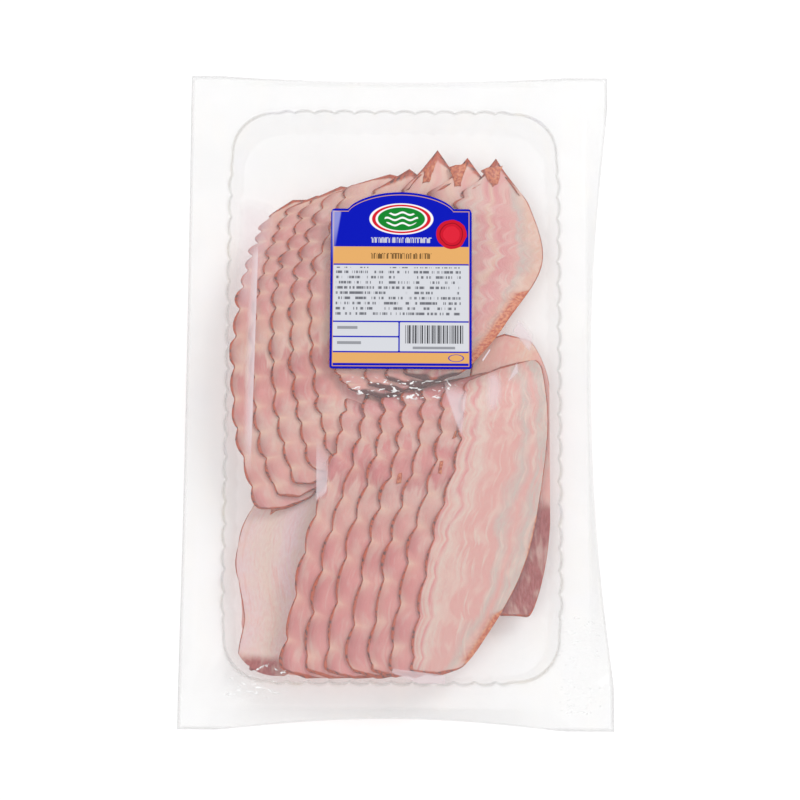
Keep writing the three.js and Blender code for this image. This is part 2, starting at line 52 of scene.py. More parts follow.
# The pack's driving sizes, as its solids have them.
HALF_WIDTH = 115
HALF_LENGTH = 179
TRAY_HEIGHT = 36
PLASTIC = 0.6
FILM = 0.35
GAP = 0.3
FLANGE = (
    {"name": "right", "width": 12.5, "bend": 78},
    {"name": "top", "width": 5.5, "bend": 50},
    {"name": "left", "width": 7.5, "bend": 25},
    {"name": "bottom", "width": 12, "bend": 65},
)
RIGHT, TOP, LEFT, BOTTOM = FLANGE
CREASE_RADIUS = 11
LEDGE_LEVEL = TRAY_HEIGHT - 1.2
RIM_HALF_WIDTH = 92
RIM_HALF_LENGTH = 159
RIM_RADIUS = 24
DRAFT = math.radians(11)
FLOOR_FILLET = 3
FLUTE_DEPTH = 1.6
CREASE_LEFT = -HALF_WIDTH + LEFT["width"]
CREASE_RIGHT = HALF_WIDTH - RIGHT["width"]
CREASE_BOTTOM = -HALF_LENGTH + BOTTOM["width"]
CREASE_TOP = HALF_LENGTH - TOP["width"]
CENTRE_X = (CREASE_LEFT + CREASE_RIGHT) / 2
CENTRE_Y = (CREASE_BOTTOM + CREASE_TOP) / 2
CREASE_HALF_WIDTH = (CREASE_RIGHT - CREASE_LEFT) / 2
CREASE_HALF_LENGTH = (CREASE_TOP - CREASE_BOTTOM) / 2

# The bacon's driving sizes.
SLICE = 2.5
STEP = SLICE + 0.35
END_SAG = 3
LAYER_PITCH = SLICE + 0.3
LIFT_FROM = 15
LIFT_TO = 75

# Each run's slices change evenly from the first outline to the last, lower end first.
# The lobes of a left edge are far apart at its lower end and come closer by the given growth.
# Each stack's last two pairs are the strengths of the painted shade in the lobes' curled margins and of the
# painted shadow beside the next slice, at its lower end and at its upper.
UPPER_STACK = {
    "node": "upper_slice", "start": -84, "lean": 0.03, "pitch": 12.7, "middle": 40, "half_length": 90,
    "lobes": 8.2, "growth": 4.8, "depth": (2.8, 5), "curl": 1.0, "tuck": 0,
    "fold_shades": (0.7, 1.2), "shadows": (0.6, 0.6),
    "runs": (
        {
            "numbers": range(1, 6), "tips": (4, 3, 5, 3, 5), "lift": 0,
            "first_left": ((-75, -61), (-88, -8), (-85, 59), (-72, 103)),
            "first_right": ((-44, -53), (-36, -1), (-38, 59), (-43, 115)),
            "last_left": ((-36, -33), (-43, 2), (-46, 62), (-27, 121)),
            "last_right": ((-24, -29), (-18, 0), (2, 59), (19, 125)),
        },
        {
            "numbers": range(6, 10), "tips": (13, 23.5, 18.5, 17.5), "lift": 3.2,
            "first_left": ((-25, 3), (-35, 20), (-24, 70), (-15, 118)),
            "first_right": ((8, 2), (18, 31), (24, 70), (30, 118)),
            "last_left": ((3, 11), (17, 43), (23, 82), (40, 122)),
            "last_right": ((34, 12), (59, 43), (80, 78), (70, 119)),
        },
    ),
}
LOWER_STACK = {
    "node": "lower_slice", "start": -26, "lean": 0.24, "pitch": 11.3, "middle": -50, "half_length": 80,
    "lobes": 9, "growth": 0, "depth": (3.6, 4), "curl": 0.6, "tuck": 10,
    "fold_shades": (1.2, 0.5), "shadows": (0.4, 1.3),
    "runs": (
        {
            "numbers": range(1, 8), "tips": (1.2, 0.8, 1.2, 0.8, 1.2, 0.8, 1.2), "lift": 0,
            "first_left": ((-61, -148), (-47, -77), (-32, -28), (-25, 6)),
            "first_right": ((-23, -152), (-9, -108), (2, -60), (12, -6)),
            "last_left": ((8, -148), (19, -82), (34, -28), (37, 11)),
            "last_right": ((37, -146), (70, -87), (82, -23), (78, 27)),
        },
    ),
}
UNDER_SLICES = {
    "under_slice_left": (
        ((-88, -148), (-82, -119), (-87, -87), (-80, -54)),
        ((-56, -150), (-44, -119), (-40, -87), (-32, -50)),
    ),
    "under_slice_right": (
        ((38, -108), (38, -55), (39, -1), (42, 34)),
        ((76, -119), (84, -55), (85, -1), (76, 36)),
    ),
}
BUNDLES = {
    "upper_bundle": {
        "layers": 3,
        "outline": (
            (38, 24), (58, 62), (56, 106), (10, 114), (-40, 108), (-74, 92), (-84, 40), (-80, -26),
        ),
    },
    "lower_bundle": {
        "layers": 4,
        "outline": (
            (-78, -62), (-84, -110), (-76, -142), (-20, -150), (24, -144),
            (56, -106), (72, -50), (70, -8), (30, -12), (-30, -36),
        ),
    },
}

# The label's driving sizes.
LABEL = {"left": -37, "right": 40, "bottom": 14.5, "shoulder": 103.7, "arch": 9.4, "thickness": 0.3}
LABEL_CORNER = 2.2
ARCH_MIDDLE = 1.2
ARCH_HALF = 28.6
ARCH_SHAPE = 0.7

# Its printed fields: left, right, bottom, top, and the radius of the corners.
GOLD_BANDS = ((-35.6, 38.6, 72.8, 82.4, 0.1), (-35.6, 38.6, 17.6, 23.4, 0.1))
PALE_BOXES = (
    (-35.4, 38.4, 41, 72, 0.5), (-35.4, 0.2, 32.6, 40.2, 0.5), (-35.4, 0.2, 24.2, 31.8, 0.5),
    (1.0, 38.4, 24.2, 40.2, 0.5),
)
ROWS_BOX = (-34, 34, 43, 71, 0.1)
BARS_BOX = (4, 35.5, 28.5, 38.6, 0.1)
SHORT_LINES = ((-33, -22, 36.4, 38, 0.2), (-33, -20, 28, 29.6, 0.2), (8, 31, 25.4, 26.8, 0.2))
PALE_LINE = (-15, 18, 84.6, 87.6, 0.1)
BROWN_LINE = (-15, 18, 75.6, 78.8, 0.1)

# Its two ovals and its dot: centre, half width and half height. Then the levels of the waves.
SMALL_OVAL = (31.5, 20.5, 4.4, 2.1)
OVAL = (1.5, 98, 17.5, 8.8)
DOT = (29, 89.5, 8.2, 8.2)
WAVE_LEVELS = (95, 98, 101)


# Colours are written as the eye sees them, 0 to 255, and turned into the light that Blender mixes.
def colour(red, green, blue):
    def light(value):
        share = value / 255
        return share / 12.92 if share <= 0.04045 else ((share + 0.055) / 1.055) ** 2.4

    return (light(red), light(green), light(blue), 1)


LEAN = colour(226, 140, 140)
LEAN_DEEP = colour(196, 98, 104)
LEAN_PALE = colour(230, 170, 160)
FAT = colour(230, 204, 190)
FAT_GREY = colour(206, 190, 180)
PEACH = colour(232, 188, 164)
FOLD_SHADE = colour(128, 30, 20)
SHADOW = colour(160, 66, 70)
RIND = colour(186, 68, 6)
RIND_DARK = colour(92, 14, 0)
TAN = colour(222, 134, 84)
PINK_FAT = colour(234, 204, 208)
MAROON = colour(84, 6, 4)
DARK_LEAN = colour(152, 54, 52)
DUSK = colour(140, 112, 110)
REFLECTION_TINT = colour(228, 212, 216)
WHITE = colour(250, 250, 250)

# How much of its own shade the clear plastic casts, since light passes through it.
SHADE_CAST = 0.12


# Places and curves.
def mix(first, second, share):
    return first + (second - first) * share


def clamp(value, low=0.0, high=1.0):
    return min(max(value, low), high)


def smooth_step(value, low, high):
    share = clamp((value - low) / (high - low))
    return share * share * (3 - 2 * share)


def wander(x, y, scale, seed=0.0):
    """An even, smooth unevenness from about -1 to 1."""
    return noise.noise(Vector((x / scale, y / scale, seed)))


def centripetal(points, closed=False):
    """A smooth curve through points, as a function of a place from 0 to 1."""
    points = [Vector(p) for p in points]
    count = len(points) if closed else len(points) - 1

    def corner(n):
        if closed:
            return points[n % len(points)]
        if n < 0:
            return points[0] * 2 - points[1]
        if n >= len(points):
            return points[-1] * 2 - points[-2]
        return points[n]

    def at(place):
        n = min(int(place * count), count - 1)
        share = place * count - n
        before, start, end, after = (corner(n + k) for k in (-1, 0, 1, 2))
        near = max((start - before).length, 1e-4) ** 0.5
        middle = max((end - start).length, 1e-4) ** 0.5
        far = max((after - end).length, 1e-4) ** 0.5
        leave = (start - before) / near - (end - before) / (near + middle) + (end - start) / middle
        arrive = (end - start) / middle - (after - start) / (middle + far) + (after - end) / far
        leave *= middle
        arrive *= middle
        square, cube = share * share, share * share * share
        return (
            start * (2 * cube - 3 * square + 1)
            + leave * (cube - 2 * square + share)
            + end * (3 * square - 2 * cube)
            + arrive * (cube - square)
        )

    return at


def wall_inset(z):
    """How far inside its rim the tray's wall is at a level."""
    return 1 + (LEDGE_LEVEL - z) * math.tan(DRAFT)


def inside_wall(x, y, z):
    """Keeps a point of the bacon inside the tray's wall at its height."""
    fillet = max(0, PLASTIC + FLOOR_FILLET - z)
    inset = wall_inset(min(z, LEDGE_LEVEL)) + fillet + 2 * GAP
    half_x, half_y = RIM_HALF_WIDTH - inset, RIM_HALF_LENGTH - inset
    dx = clamp(x - CENTRE_X, -half_x, half_x)
    dy = clamp(y - CENTRE_Y, -half_y, half_y)
    over_x = abs(dx) - (half_x - RIM_RADIUS)
    over_y = abs(dy) - (half_y - RIM_RADIUS)
    far = math.hypot(over_x, over_y)
    if over_x > 0 and over_y > 0 and far > RIM_RADIUS:
        dx = math.copysign(half_x - RIM_RADIUS + over_x * RIM_RADIUS / far, dx)
        dy = math.copysign(half_y - RIM_RADIUS + over_y * RIM_RADIUS / far, dy)
    return CENTRE_X + dx, CENTRE_Y + dy


def surface_of(node):
    """The highest surface of a CAD node, as a function of a place."""
    mesh = nodes[node].data
    corners = [v.co / MM for v in mesh.vertices]
    faces = [tuple(p.vertices) for p in mesh.polygons]
    tree = BVHTree.FromPolygons(corners, faces)
    above = 100

    def height(x, y):
        hit = tree.ray_cast(Vector((x, y, above)), Vector((0, 0, -1)))[0]
        return hit.z if hit else None

    return height


# Pieces.
def make_piece(name, bm, finish, slot, *stands_for):
    """Turns a bmesh in millimetres into a piece of the pack, which rides on its one body."""
    bmesh.ops.scale(bm, vec=(MM, MM, MM), verts=bm.verts)
    for face in bm.faces:
        face.smooth = True
    mesh = bpy.data.meshes.new(name)
    bm.to_mesh(mesh)
    bm.free()
    mesh.materials.append(finish)
    obj = bpy.data.objects.new(name, mesh)
    bpy.context.scene.collection.objects.link(obj)
    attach(obj, "root")
    if stands_for:
        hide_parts(*stands_for)
    return obj


def thicken(obj, thickness):
    """Gives a sheet its thickness below its upper face."""
    modifier = obj.modifiers.new("thickness", "SOLIDIFY")
    modifier.thickness = thickness * MM
    modifier.offset = -1


# What each vertex of a slice tells its finish: how far off the edge is, how broad its brown line is, how
# dark the painted shade in a lobe's curled margin is, how pale a notch between two lobes is, the painted
# shadow beside the next slice, the moist end below the label, and the smoked rind along the right edge.
MARKS = ("rim", "line", "fold", "notch", "shadow", "end", "rind")


def shaped_grid(columns, rows, place):
    """A grid whose vertices lie where place(across, along) says. It also gives the uv and the marks."""
    bm = bmesh.new()
    bmesh.ops.create_grid(bm, x_segments=columns, y_segments=rows, size=1)
    cut = bm.loops.layers.uv.new("cut")
    share = bm.loops.layers.uv.new("share")
    layers = {name: bm.verts.layers.float.new(name) for name in MARKS}
    bm.verts.index_update()
    marks = {}
    for vert in bm.verts:
        across, along = (vert.co.x + 1) / 2, (vert.co.y + 1) / 2
        vert.co, uv, given = place(across, along)
        for name, value in given.items():
            vert[layers[name]] = value
        marks[vert.index] = (uv, (across, along))
    for face in bm.faces:
        for loop in face.loops:
            loop[cut].uv, loop[share].uv = marks[loop.vert.index]
    return bm


# Nodes.
def feed(tree, target, value):
    if isinstance(value, bpy.types.NodeSocket):
        tree.links.new(value, target)
    else:
        target.default_value = value


def calculate(tree, operation, *values, clamped=False):
    node = tree.nodes.new("ShaderNodeMath")
    node.operation = operation
    node.use_clamp = clamped
    for target, value in zip(node.inputs, values):
        feed(tree, target, value)
    return node.outputs[0]


def plus(tree, first, second, clamped=False):
    return calculate(tree, "ADD", first, second, clamped=clamped)


def minus(tree, first, second, clamped=False):
    return calculate(tree, "SUBTRACT", first, second, clamped=clamped)


def times(tree, first, second, clamped=False):
    return calculate(tree, "MULTIPLY", first, second, clamped=clamped)


def size_of(tree, value):
    return calculate(tree, "ABSOLUTE", value)


def paint(tree, mask, under, over):
    """The colour over, laid on the colour under where the mask is 1."""
    node = tree.nodes.new("ShaderNodeMix")
    node.data_type = "RGBA"
    feed(tree, node.inputs[0], mask)
    feed(tree, node.inputs[6], under)
    feed(tree, node.inputs[7], over)
    return node.outputs[2]


def rise(tree, value, low, high):
    """0 up to low and 1 from high, smooth between. It falls where low is above high."""
    node = tree.nodes.new("ShaderNodeMapRange")
    node.interpolation_type = "SMOOTHSTEP"
    feed(tree, node.inputs["Value"], value)
    node.inputs["From Min"].default_value = low
    node.inputs["From Max"].default_value = high
    return node.outputs[0]


def unevenness(tree, place, scale, detail=2.0, distortion=0.0):
    node = tree.nodes.new("ShaderNodeTexNoise")
    feed(tree, node.inputs["Vector"], place)
    node.inputs["Scale"].default_value = scale
    node.inputs["Detail"].default_value = detail
    node.inputs["Distortion"].default_value = distortion
    return node.outputs["Fac"]


def stretched(tree, place, scale, turn=0.0):
    node = tree.nodes.new("ShaderNodeMapping")
    feed(tree, node.inputs["Vector"], place)
    node.inputs["Rotation"].default_value = (0, 0, turn)
    node.inputs["Scale"].default_value = scale
    return node.outputs[0]


def streaky(tree, place, scale, detail=2.0, distortion=0.0, turn=0.0):
    """Unevenness with its own scale along each axis."""
    return unevenness(tree, stretched(tree, place, scale, turn), 1.0, detail, distortion)


def colour_ramp(tree, value, stops):
    node = tree.nodes.new("ShaderNodeValToRGB")
    feed(tree, node.inputs[0], value)
    ramp = node.color_ramp
    while len(ramp.elements) < len(stops):
        ramp.elements.new(0.5)
    for element, (position, shade) in zip(ramp.elements, stops):
        element.position = position
        element.color = shade
    return node.outputs[0]


def bump(tree, height, strength, distance):
    node = tree.nodes.new("ShaderNodeBump")
    feed(tree, node.inputs["Height"], height)
    node.inputs["Strength"].default_value = strength
    node.inputs["Distance"].default_value = distance * MM
    return node.outputs[0]


def uv_place(tree, name):
    node = tree.nodes.new("ShaderNodeUVMap")
    node.uv_map = name
    return node.outputs[0]


def object_place(tree):
    """Object coordinates in millimetres."""
    node = tree.nodes.new("ShaderNodeTexCoord")
    return stretched(tree, node.outputs["Object"], (1 / MM, 1 / MM, 1 / MM))


def separate(tree, place):
    node = tree.nodes.new("ShaderNodeSeparateXYZ")
    feed(tree, node.inputs[0], place)
    return node.outputs


def attribute(tree, name):
    node = tree.nodes.new("ShaderNodeAttribute")
    node.attribute_name = name
    return node.outputs["Fac"]


def new_finish(name):
    """A material, its node tree and its shader."""
    material = bpy.data.materials.new(name)
    material.use_nodes = True
    tree = material.node_tree
    return material, tree, tree.nodes["Principled BSDF"]


def new_group(name, inputs, outputs):
    group = bpy.data.node_groups.new(name, "ShaderNodeTree")
    for direction, sockets in (("INPUT", inputs), ("OUTPUT", outputs)):
        for socket_name, kind in sockets.items():
            group.interface.new_socket(socket_name, in_out=direction, socket_type=f"NodeSocket{kind}")
    entry = group.nodes.new("NodeGroupInput")
    leave = group.nodes.new("NodeGroupOutput")
    return group, entry.outputs, leave.inputs


def use_group(tree, group, **values):
    node = tree.nodes.new("ShaderNodeGroup")
    node.node_tree = group
    for name, value in values.items():
        feed(tree, node.inputs[name], value)
    return node.outputs


def mottling_group():
    """Fine meat grain: small pale and dark flecks, drawn out along the slice."""
    group, given, wanted = new_group(
        "mottling", {"Place": "Vector", "Colour": "Color"}, {"Colour": "Color", "Relief": "Float"}
    )
    fleck = streaky(group, given["Place"], (0.9, 0.35, 1), 3.0)
    blot = streaky(group, given["Place"], (0.16, 0.08, 1))
    dark = paint(group, rise(group, fleck, 0.62, 0.36), given["Colour"], LEAN)
    softened = paint(group, 0.22, given["Colour"], dark)
    pale = paint(group, times(group, rise(group, blot, 0.48, 0.7), 0.45), softened, FAT)
    feed(group, wanted["Colour"], pale)
    feed(group, wanted["Relief"], plus(group, fleck, blot))
    return group


def rim_group():
    """A slice's lobed rim: a brown edge line, painted shade in its curled lobes, painted shadow left of the
    next.
    """
    group, given, wanted = new_group(
        "smoked_rim",
        {"Place": "Vector", "Width": "Float", "Fold": "Float", "Shadow": "Float", "Colour": "Color"},
        {"Colour": "Color"},
    )
    patch = streaky(group, given["Place"], (0.1, 0.1, 1))
    fine = streaky(group, given["Place"], (0.6, 0.6, 1))
    # The pale notches between lobes take the same strength as the painted shade in the curled margins.
    notch = times(group, attribute(group, "notch"), given["Fold"], clamped=True)
    pale = paint(group, notch, given["Colour"], PEACH)
    shadow = times(group, attribute(group, "shadow"), given["Shadow"], clamped=True)
    shaded = paint(group, shadow, pale, SHADOW)
    # Painted shade inside each lobe, where its margin curls down, away from the light.
    fold = times(group, attribute(group, "fold"), given["Fold"])
    fold = times(group, fold, rise(group, patch, 0.1, 0.6))
    fold = calculate(group, "MINIMUM", fold, 0.85)
    folded = paint(group, fold, shaded, FOLD_SHADE)
    line, end = attribute(group, "line"), attribute(group, "end")
    width = times(group, given["Width"], plus(group, line, 0.2))
    width = times(group, width, rise(group, patch, -0.1, 0.6))
    width = calculate(group, "MULTIPLY_ADD", end, 4.5, width)
    reach = calculate(group, "DIVIDE", attribute(group, "rim"), plus(group, width, 0.02))
    ragged = plus(group, reach, times(group, fine, 0.7))
    dark = plus(group, rise(group, fine, 0.46, 0.66), end, clamped=True)
    shade = paint(group, dark, RIND, RIND_DARK)
    rimmed = paint(group, rise(group, ragged, 1.7, 1.0), folded, shade)
    orange = times(group, attribute(group, "rind"), 1.4, clamped=True)
    skin = paint(group, rise(group, fine, 0.35, 0.65), TAN, RIND)
    ended = paint(group, orange, rimmed, skin)
    feed(group, wanted["Colour"], paint(group, rise(group, end, 0.16, 0.34), ended, MAROON))
    return group


# How strongly the zones along a slice show, how far a dark end takes to fade, and how rough meat is.
ZONE_SHARE = 0.6
DEEP_END_FADE = 0.06
LEAST_ROUGHNESS, ROUGHNESS_SWING = 0.21, 0.3


def bacon_finish(name, bands, warp, across="cut", width=1.0, turn=0.0, rim=2.3, fold=0.5, shadow=0.5,
                 streaks=0.6, deep_end=0, zones=(), dusk=0.0):
    """Sliced bacon. bands are its lean and fat from left to right, and zones those along the slice."""
    material, tree, shader = new_finish(name)
    place = stretched(tree, uv_place(tree, "cut"), (100, 100, 1))
    share = separate(tree, uv_place(tree, "share"))

    def drifting(value, spot, scale, swing):
        return plus(tree, value, times(tree, minus(tree, streaky(tree, spot, scale), 0.5), swing))

    start = separate(tree, place)[0] if across == "cut" else share[0]
    from_left = drifting(calculate(tree, "DIVIDE", start, width), place, (0.05, 0.03, 1), warp)
    base = colour_ramp(tree, from_left, bands)
    if zones:
        along = drifting(share[1], object_place(tree), (0.03, 0.03, 1), 0.3)
        base = paint(tree, ZONE_SHARE, base, colour_ramp(tree, along, zones))
    line = streaky(tree, place, (0.42, 0.045, 1), 3.0, 0.6, turn)
    pale_lines = times(tree, rise(tree, line, 0.56, 0.66), streaks)
    pink_lines = times(tree, rise(tree, line, 0.42, 0.34), streaks * 0.8)
    marbled = paint(tree, pink_lines, paint(tree, pale_lines, base, FAT), LEAN_PALE)
    if deep_end:
        deep = rise(tree, share[1], deep_end + DEEP_END_FADE, deep_end)
        marbled = paint(tree, deep, marbled, DARK_LEAN)
    marbled = paint(tree, dusk, marbled, DUSK)
    grain = use_group(tree, groups["mottling"], Place=place, Colour=marbled)
    shade = grain["Colour"]
    # The rim paints shade in the lobes' curled margins, whose strength also sets how pale the notches are.
    if rim:
        shade = use_group(
            tree, groups["rim"], Place=place, Width=rim, Fold=fold, Shadow=shadow, Colour=shade
        )["Colour"]
    feed(tree, shader.inputs["Base Color"], shade)
    moist = unevenness(tree, place, 0.12)
    rough = calculate(tree, "MULTIPLY_ADD", moist, ROUGHNESS_SWING, LEAST_ROUGHNESS)
    feed(tree, shader.inputs["Roughness"], rough)
    feed(tree, shader.inputs["Normal"], bump(tree, grain["Relief"], 0.35, 0.5))
    shader.inputs["Subsurface Weight"].default_value = 0.1
    shader.inputs["Subsurface Radius"].default_value = (0.003, 0.0012, 0.001)
    shader.inputs["Specular IOR Level"].default_value = 0.35
    return material


def facet(tree, place, corners, softness):
    """1 inside a convex outline, whose corners run anticlockwise, fading over each edge's softness."""
    mask = 1.0
    for n, soft in enumerate(softness):
        start, end = Vector(corners[n]), Vector(corners[(n + 1) % len(corners)])
        inward = Vector((start.y - end.y, end.x - start.x)).normalized()
        dot = tree.nodes.new("ShaderNodeVectorMath")
        dot.operation = "DOT_PRODUCT"
        feed(tree, dot.inputs[0], place)
        dot.inputs[1].default_value = (inward.x, inward.y, 0)
        depth = minus(tree, dot.outputs["Value"], start.dot(inward))
        mask = times(tree, mask, rise(tree, depth, 0, soft))
    return mask


# Painted reflections, flat pale patches where the film catches the light: outline, softness of each edge,
# strength.
PAINTED_REFLECTIONS = (
    (((-86, -64), (-78.6, -55), (-76.2, 89), (-84, 92)), (30, 0.5, 14, 9), 0.72),
    (((-43.8, -60), (-37.4, -54.6), (-35.5, -20), (-44.5, -12)), (3, 0.8, 26, 1.2), 0.5),
    (((24.3, 13), (25.6, -1.2), (30.7, -16.6), (34.7, -26.6), (38.6, 1.7), (35.1, 8.8)),
     (1, 2.4, 2.4, 2, 1.4, 12), 0.46),
    (((44, -12), (56, -14), (61, 6), (55.5, 18), (45, 16)), (10, 8, 8, 8, 8), 0.44),
    (((57, 4), (66, 12.8), (64.8, 20.5)), (1.6, 1.2, 1.2), 0.5),
    (((61, 36), (72, 22), (76, 34), (66, 48)), (2, 3, 6, 3), 0.4),
    (((45.4, 19.6), (46.3, 19), (50.4, 25.3), (49.6, 26)), (0.3, 0.3, 0.3, 0.3), 0.95),
    (((-92, 30), (-76, 30), (-56, 112), (-92, 120)), (30, 16, 20, 10), 0.3),
    (((-3, -149), (12, -155), (27, -155), (26, -149.5), (-2, -146)), (1, 1, 1, 1, 1), 0.4),
)

# Where the film has small bright glints: outline, softness of each edge.
GLINTS = (
    (((-26, -3), (22, -3), (36, 5), (36, 10), (-30, 12)), (2, 2, 2, 2, 2)),
    (((-92, -166), (-52, -162), (-56, -144), (-88, -142)), (4, 4, 4, 4)),
    (((84, -172), (110, -172), (110, -120), (84, -110)), (5, 5, 9, 5)),
)
GLINT = 0.85

# How strong the haze is along the film's outer edge, and how wide the band that it covers.
SEAL_HAZE, SEAL_WIDTH = 0.3, 3.5


def clear_finish(name, shade, haze, edge, roughness, iridescence=0.0, painted_reflections=(), glints=(), sealed=False):
    """Clear plastic: it shows by its reflections, and by its grey where it's seen edge on."""
    material, tree, shader = new_finish(name)
    place = object_place(tree)
    facing = tree.nodes.new("ShaderNodeLayerWeight")
    facing.inputs["Blend"].default_value = 0.5
    steep = calculate(tree, "POWER", facing.outputs["Facing"], 2.2)
    cloud = streaky(tree, place, (0.02, 0.02, 0.02))
    film = calculate(tree, "MULTIPLY_ADD", cloud, haze, haze * 0.5)
    alpha = calculate(tree, "MULTIPLY_ADD", steep, edge, film, clamped=True)
    # Painted iridescent sheen: patches of pale yellow and pale lilac, as stretched clear plastic shows in
    # the light.
    warm_sheen = rise(tree, streaky(tree, place, (0.07, 0.03, 0.05)), 0.5, 0.7)
    cool_sheen = rise(tree, streaky(tree, place, (0.05, 0.06, 0.03), 1.0), 0.55, 0.75)
    coloured_and_lit = paint(tree, times(tree, warm_sheen, iridescence), shade, colour(250, 226, 178))
    coloured_and_lit = paint(tree, times(tree, cool_sheen, iridescence), coloured_and_lit, colour(214, 212, 240))
    # Painted reflections: pale patches laid on the colour, which also make the film less clear there.
    for corners, softness, strength in painted_reflections:
        painted_reflection = times(tree, facet(tree, place, corners, softness), strength)
        coloured_and_lit = paint(tree, times(tree, painted_reflection, 3.0, clamped=True), coloured_and_lit, REFLECTION_TINT)
        alpha = calculate(tree, "MAXIMUM", alpha, painted_reflection)
    if sealed:
        x, y, _ = separate(tree, place)
        for value, half in ((x, HALF_WIDTH), (y, HALF_LENGTH)):
            out = rise(tree, size_of(tree, value), half - SEAL_WIDTH, half)
            alpha = calculate(tree, "MAXIMUM", alpha, times(tree, out, SEAL_HAZE))
    if glints:
        spark = rise(tree, streaky(tree, place, (0.28, 0.6, 0.5), 2.0, 0.8), 0.64, 0.67)
    for corners, softness in glints:
        glint = times(tree, facet(tree, place, corners, softness), spark)
        coloured_and_lit = paint(tree, glint, coloured_and_lit, WHITE)
        alpha = calculate(tree, "MAXIMUM", alpha, times(tree, glint, GLINT))
    seen = tree.nodes.new("ShaderNodeLightPath").outputs["Is Camera Ray"]
    through = calculate(tree, "MULTIPLY_ADD", seen, 1 - SHADE_CAST, SHADE_CAST)
    feed(tree, shader.inputs["Base Color"], coloured_and_lit)
    feed(tree, shader.inputs["Alpha"], times(tree, alpha, through))
    shader.inputs["Roughness"].default_value = roughness
    shader.inputs["IOR"].default_value = 1.5
    return material


# The tray.
STRAIGHT_SHARE = 0.85
TRAY_STEPS = 1200
FLUTE_COUNTS = {"side": 22, "end": 12}
FLUTE_FADE = 0.07
FLUTE_SHAPE = 0.7
CORNER_SQUARENESS = 0.28
WALL_STEPS = 7
FILLET_STEPS = 4

# The rings at the wall's top: inset, share of the flutes' depth, and how far below the ledge.
LEDGE_RINGS = ((3.4, 0.9, 4.2), (1.8, 0.9, 3.6), (1.2, 0.8, 1.2), (0.6, 0.7, 0.3))

# The rings of the small step up to the flange: inset from the crease, and level.
STEP_RINGS = ((3.2, LEDGE_LEVEL), (2.6, LEDGE_LEVEL + 0.1), (1.9, TRAY_HEIGHT - 0.1), (1, TRAY_HEIGHT))


def round_the_rectangle(place, half_x, half_y, radius):
    """A point of a rounded rectangle at a place from 0 to 4, one side and its corner to each unit."""
    side = int(place) % 4
    share = place - int(place)
    angle = side * math.pi / 2
    out = Vector((math.cos(angle), math.sin(angle)))
    along = Vector((-math.sin(angle), math.cos(angle)))
    run_x, run_y = half_x - radius, half_y - radius
    reach, run = (run_x, run_y) if side % 2 == 0 else (run_y, run_x)
    if share < STRAIGHT_SHARE:
        f = share / STRAIGHT_SHARE
        return out * (reach + radius) + along * ((2 * f - 1) * run), out, side, f, None
    turn = (share - STRAIGHT_SHARE) / (1 - STRAIGHT_SHARE)
    normal = Vector((math.cos(angle + turn * math.pi / 2), math.sin(angle + turn * math.pi / 2)))
    return out * reach + along * run + normal * radius, normal, side, 1, turn


def bend_at(side, f):
    inside = clamp(f)
    return math.radians(FLANGE[side]["bend"]) * (4 * inside * (1 - inside)) ** 0.6


def plain_ring(half_x, half_y, radius, z):
    def at(place):
        point = round_the_rectangle(place, half_x, half_y, radius)[0]
        return Vector((CENTRE_X + point.x, CENTRE_Y + point.y, z))

    return at


def fluted_ring(inset, depth, z):
    """A ring of the wall, whose flutes bulge outwards and meet in cusps."""

    def at(place):
        half_x, half_y = RIM_HALF_WIDTH - inset, RIM_HALF_LENGTH - inset
        point, out, side, f, turn = round_the_rectangle(place, half_x, half_y, RIM_RADIUS - inset / 2)
        bulge = 0.0
        if turn is None:
            count = FLUTE_COUNTS["side"] if side % 2 == 0 else FLUTE_COUNTS["end"]
            fade = smooth_step(min(f, 1 - f), 0, FLUTE_FADE)
            bulge = depth * fade * abs(math.sin(f * count * math.pi)) ** FLUTE_SHAPE
        point = point + out * bulge
        return Vector((CENTRE_X + point.x, CENTRE_Y + point.y, z))

    return at


def flange_ring(share):
    """A ring of the flange's outer strip, from its crease at 0 to its free edge at 1."""

    def at(place):
        point, out, side, f, turn = round_the_rectangle(
            place, CREASE_HALF_WIDTH, CREASE_HALF_LENGTH, CREASE_RADIUS
        )
        if turn is None:
            angle = bend_at(side, f)
            width = FLANGE[side]["width"] * share
            point = point + out * (width * math.cos(angle))
            drop = width * math.sin(angle)
            ripple = 0.25 * share * wander(point.x, point.y, 22, 4.0)
            return Vector((CENTRE_X + point.x, CENTRE_Y + point.y, TRAY_HEIGHT - drop + ripple))
        return flange_corner(side, turn, share, point)

    return at


def flange_corner(side, turn, share, point):
    """The flat corner of the flange, nearly square."""
    following = (side + 1) % 4
    widths = (FLANGE[side]["width"], FLANGE[following]["width"])
    if side % 2:
        widths = widths[::-1]
    reach_x, reach_y = CREASE_RADIUS + widths[0], CREASE_RADIUS + widths[1]
    angle = (side + turn) * math.pi / 2
    cosine, sine = math.cos(angle), math.sin(angle)
    corner_x = math.copysign(CREASE_HALF_WIDTH - CREASE_RADIUS, (1, -1, -1, 1)[side])
    corner_y = math.copysign(CREASE_HALF_LENGTH - CREASE_RADIUS, (1, 1, -1, -1)[side])
    outer_x = corner_x + math.copysign(abs(cosine) ** CORNER_SQUARENESS * reach_x, cosine)
    outer_y = corner_y + math.copysign(abs(sine) ** CORNER_SQUARENESS * reach_y, sine)
    x = CENTRE_X + mix(point.x, outer_x, share)
    y = CENTRE_Y + mix(point.y, outer_y, share)
    return Vector((x, y, TRAY_HEIGHT + 0.5 * share * wander(x, y, 9, 7.0)))


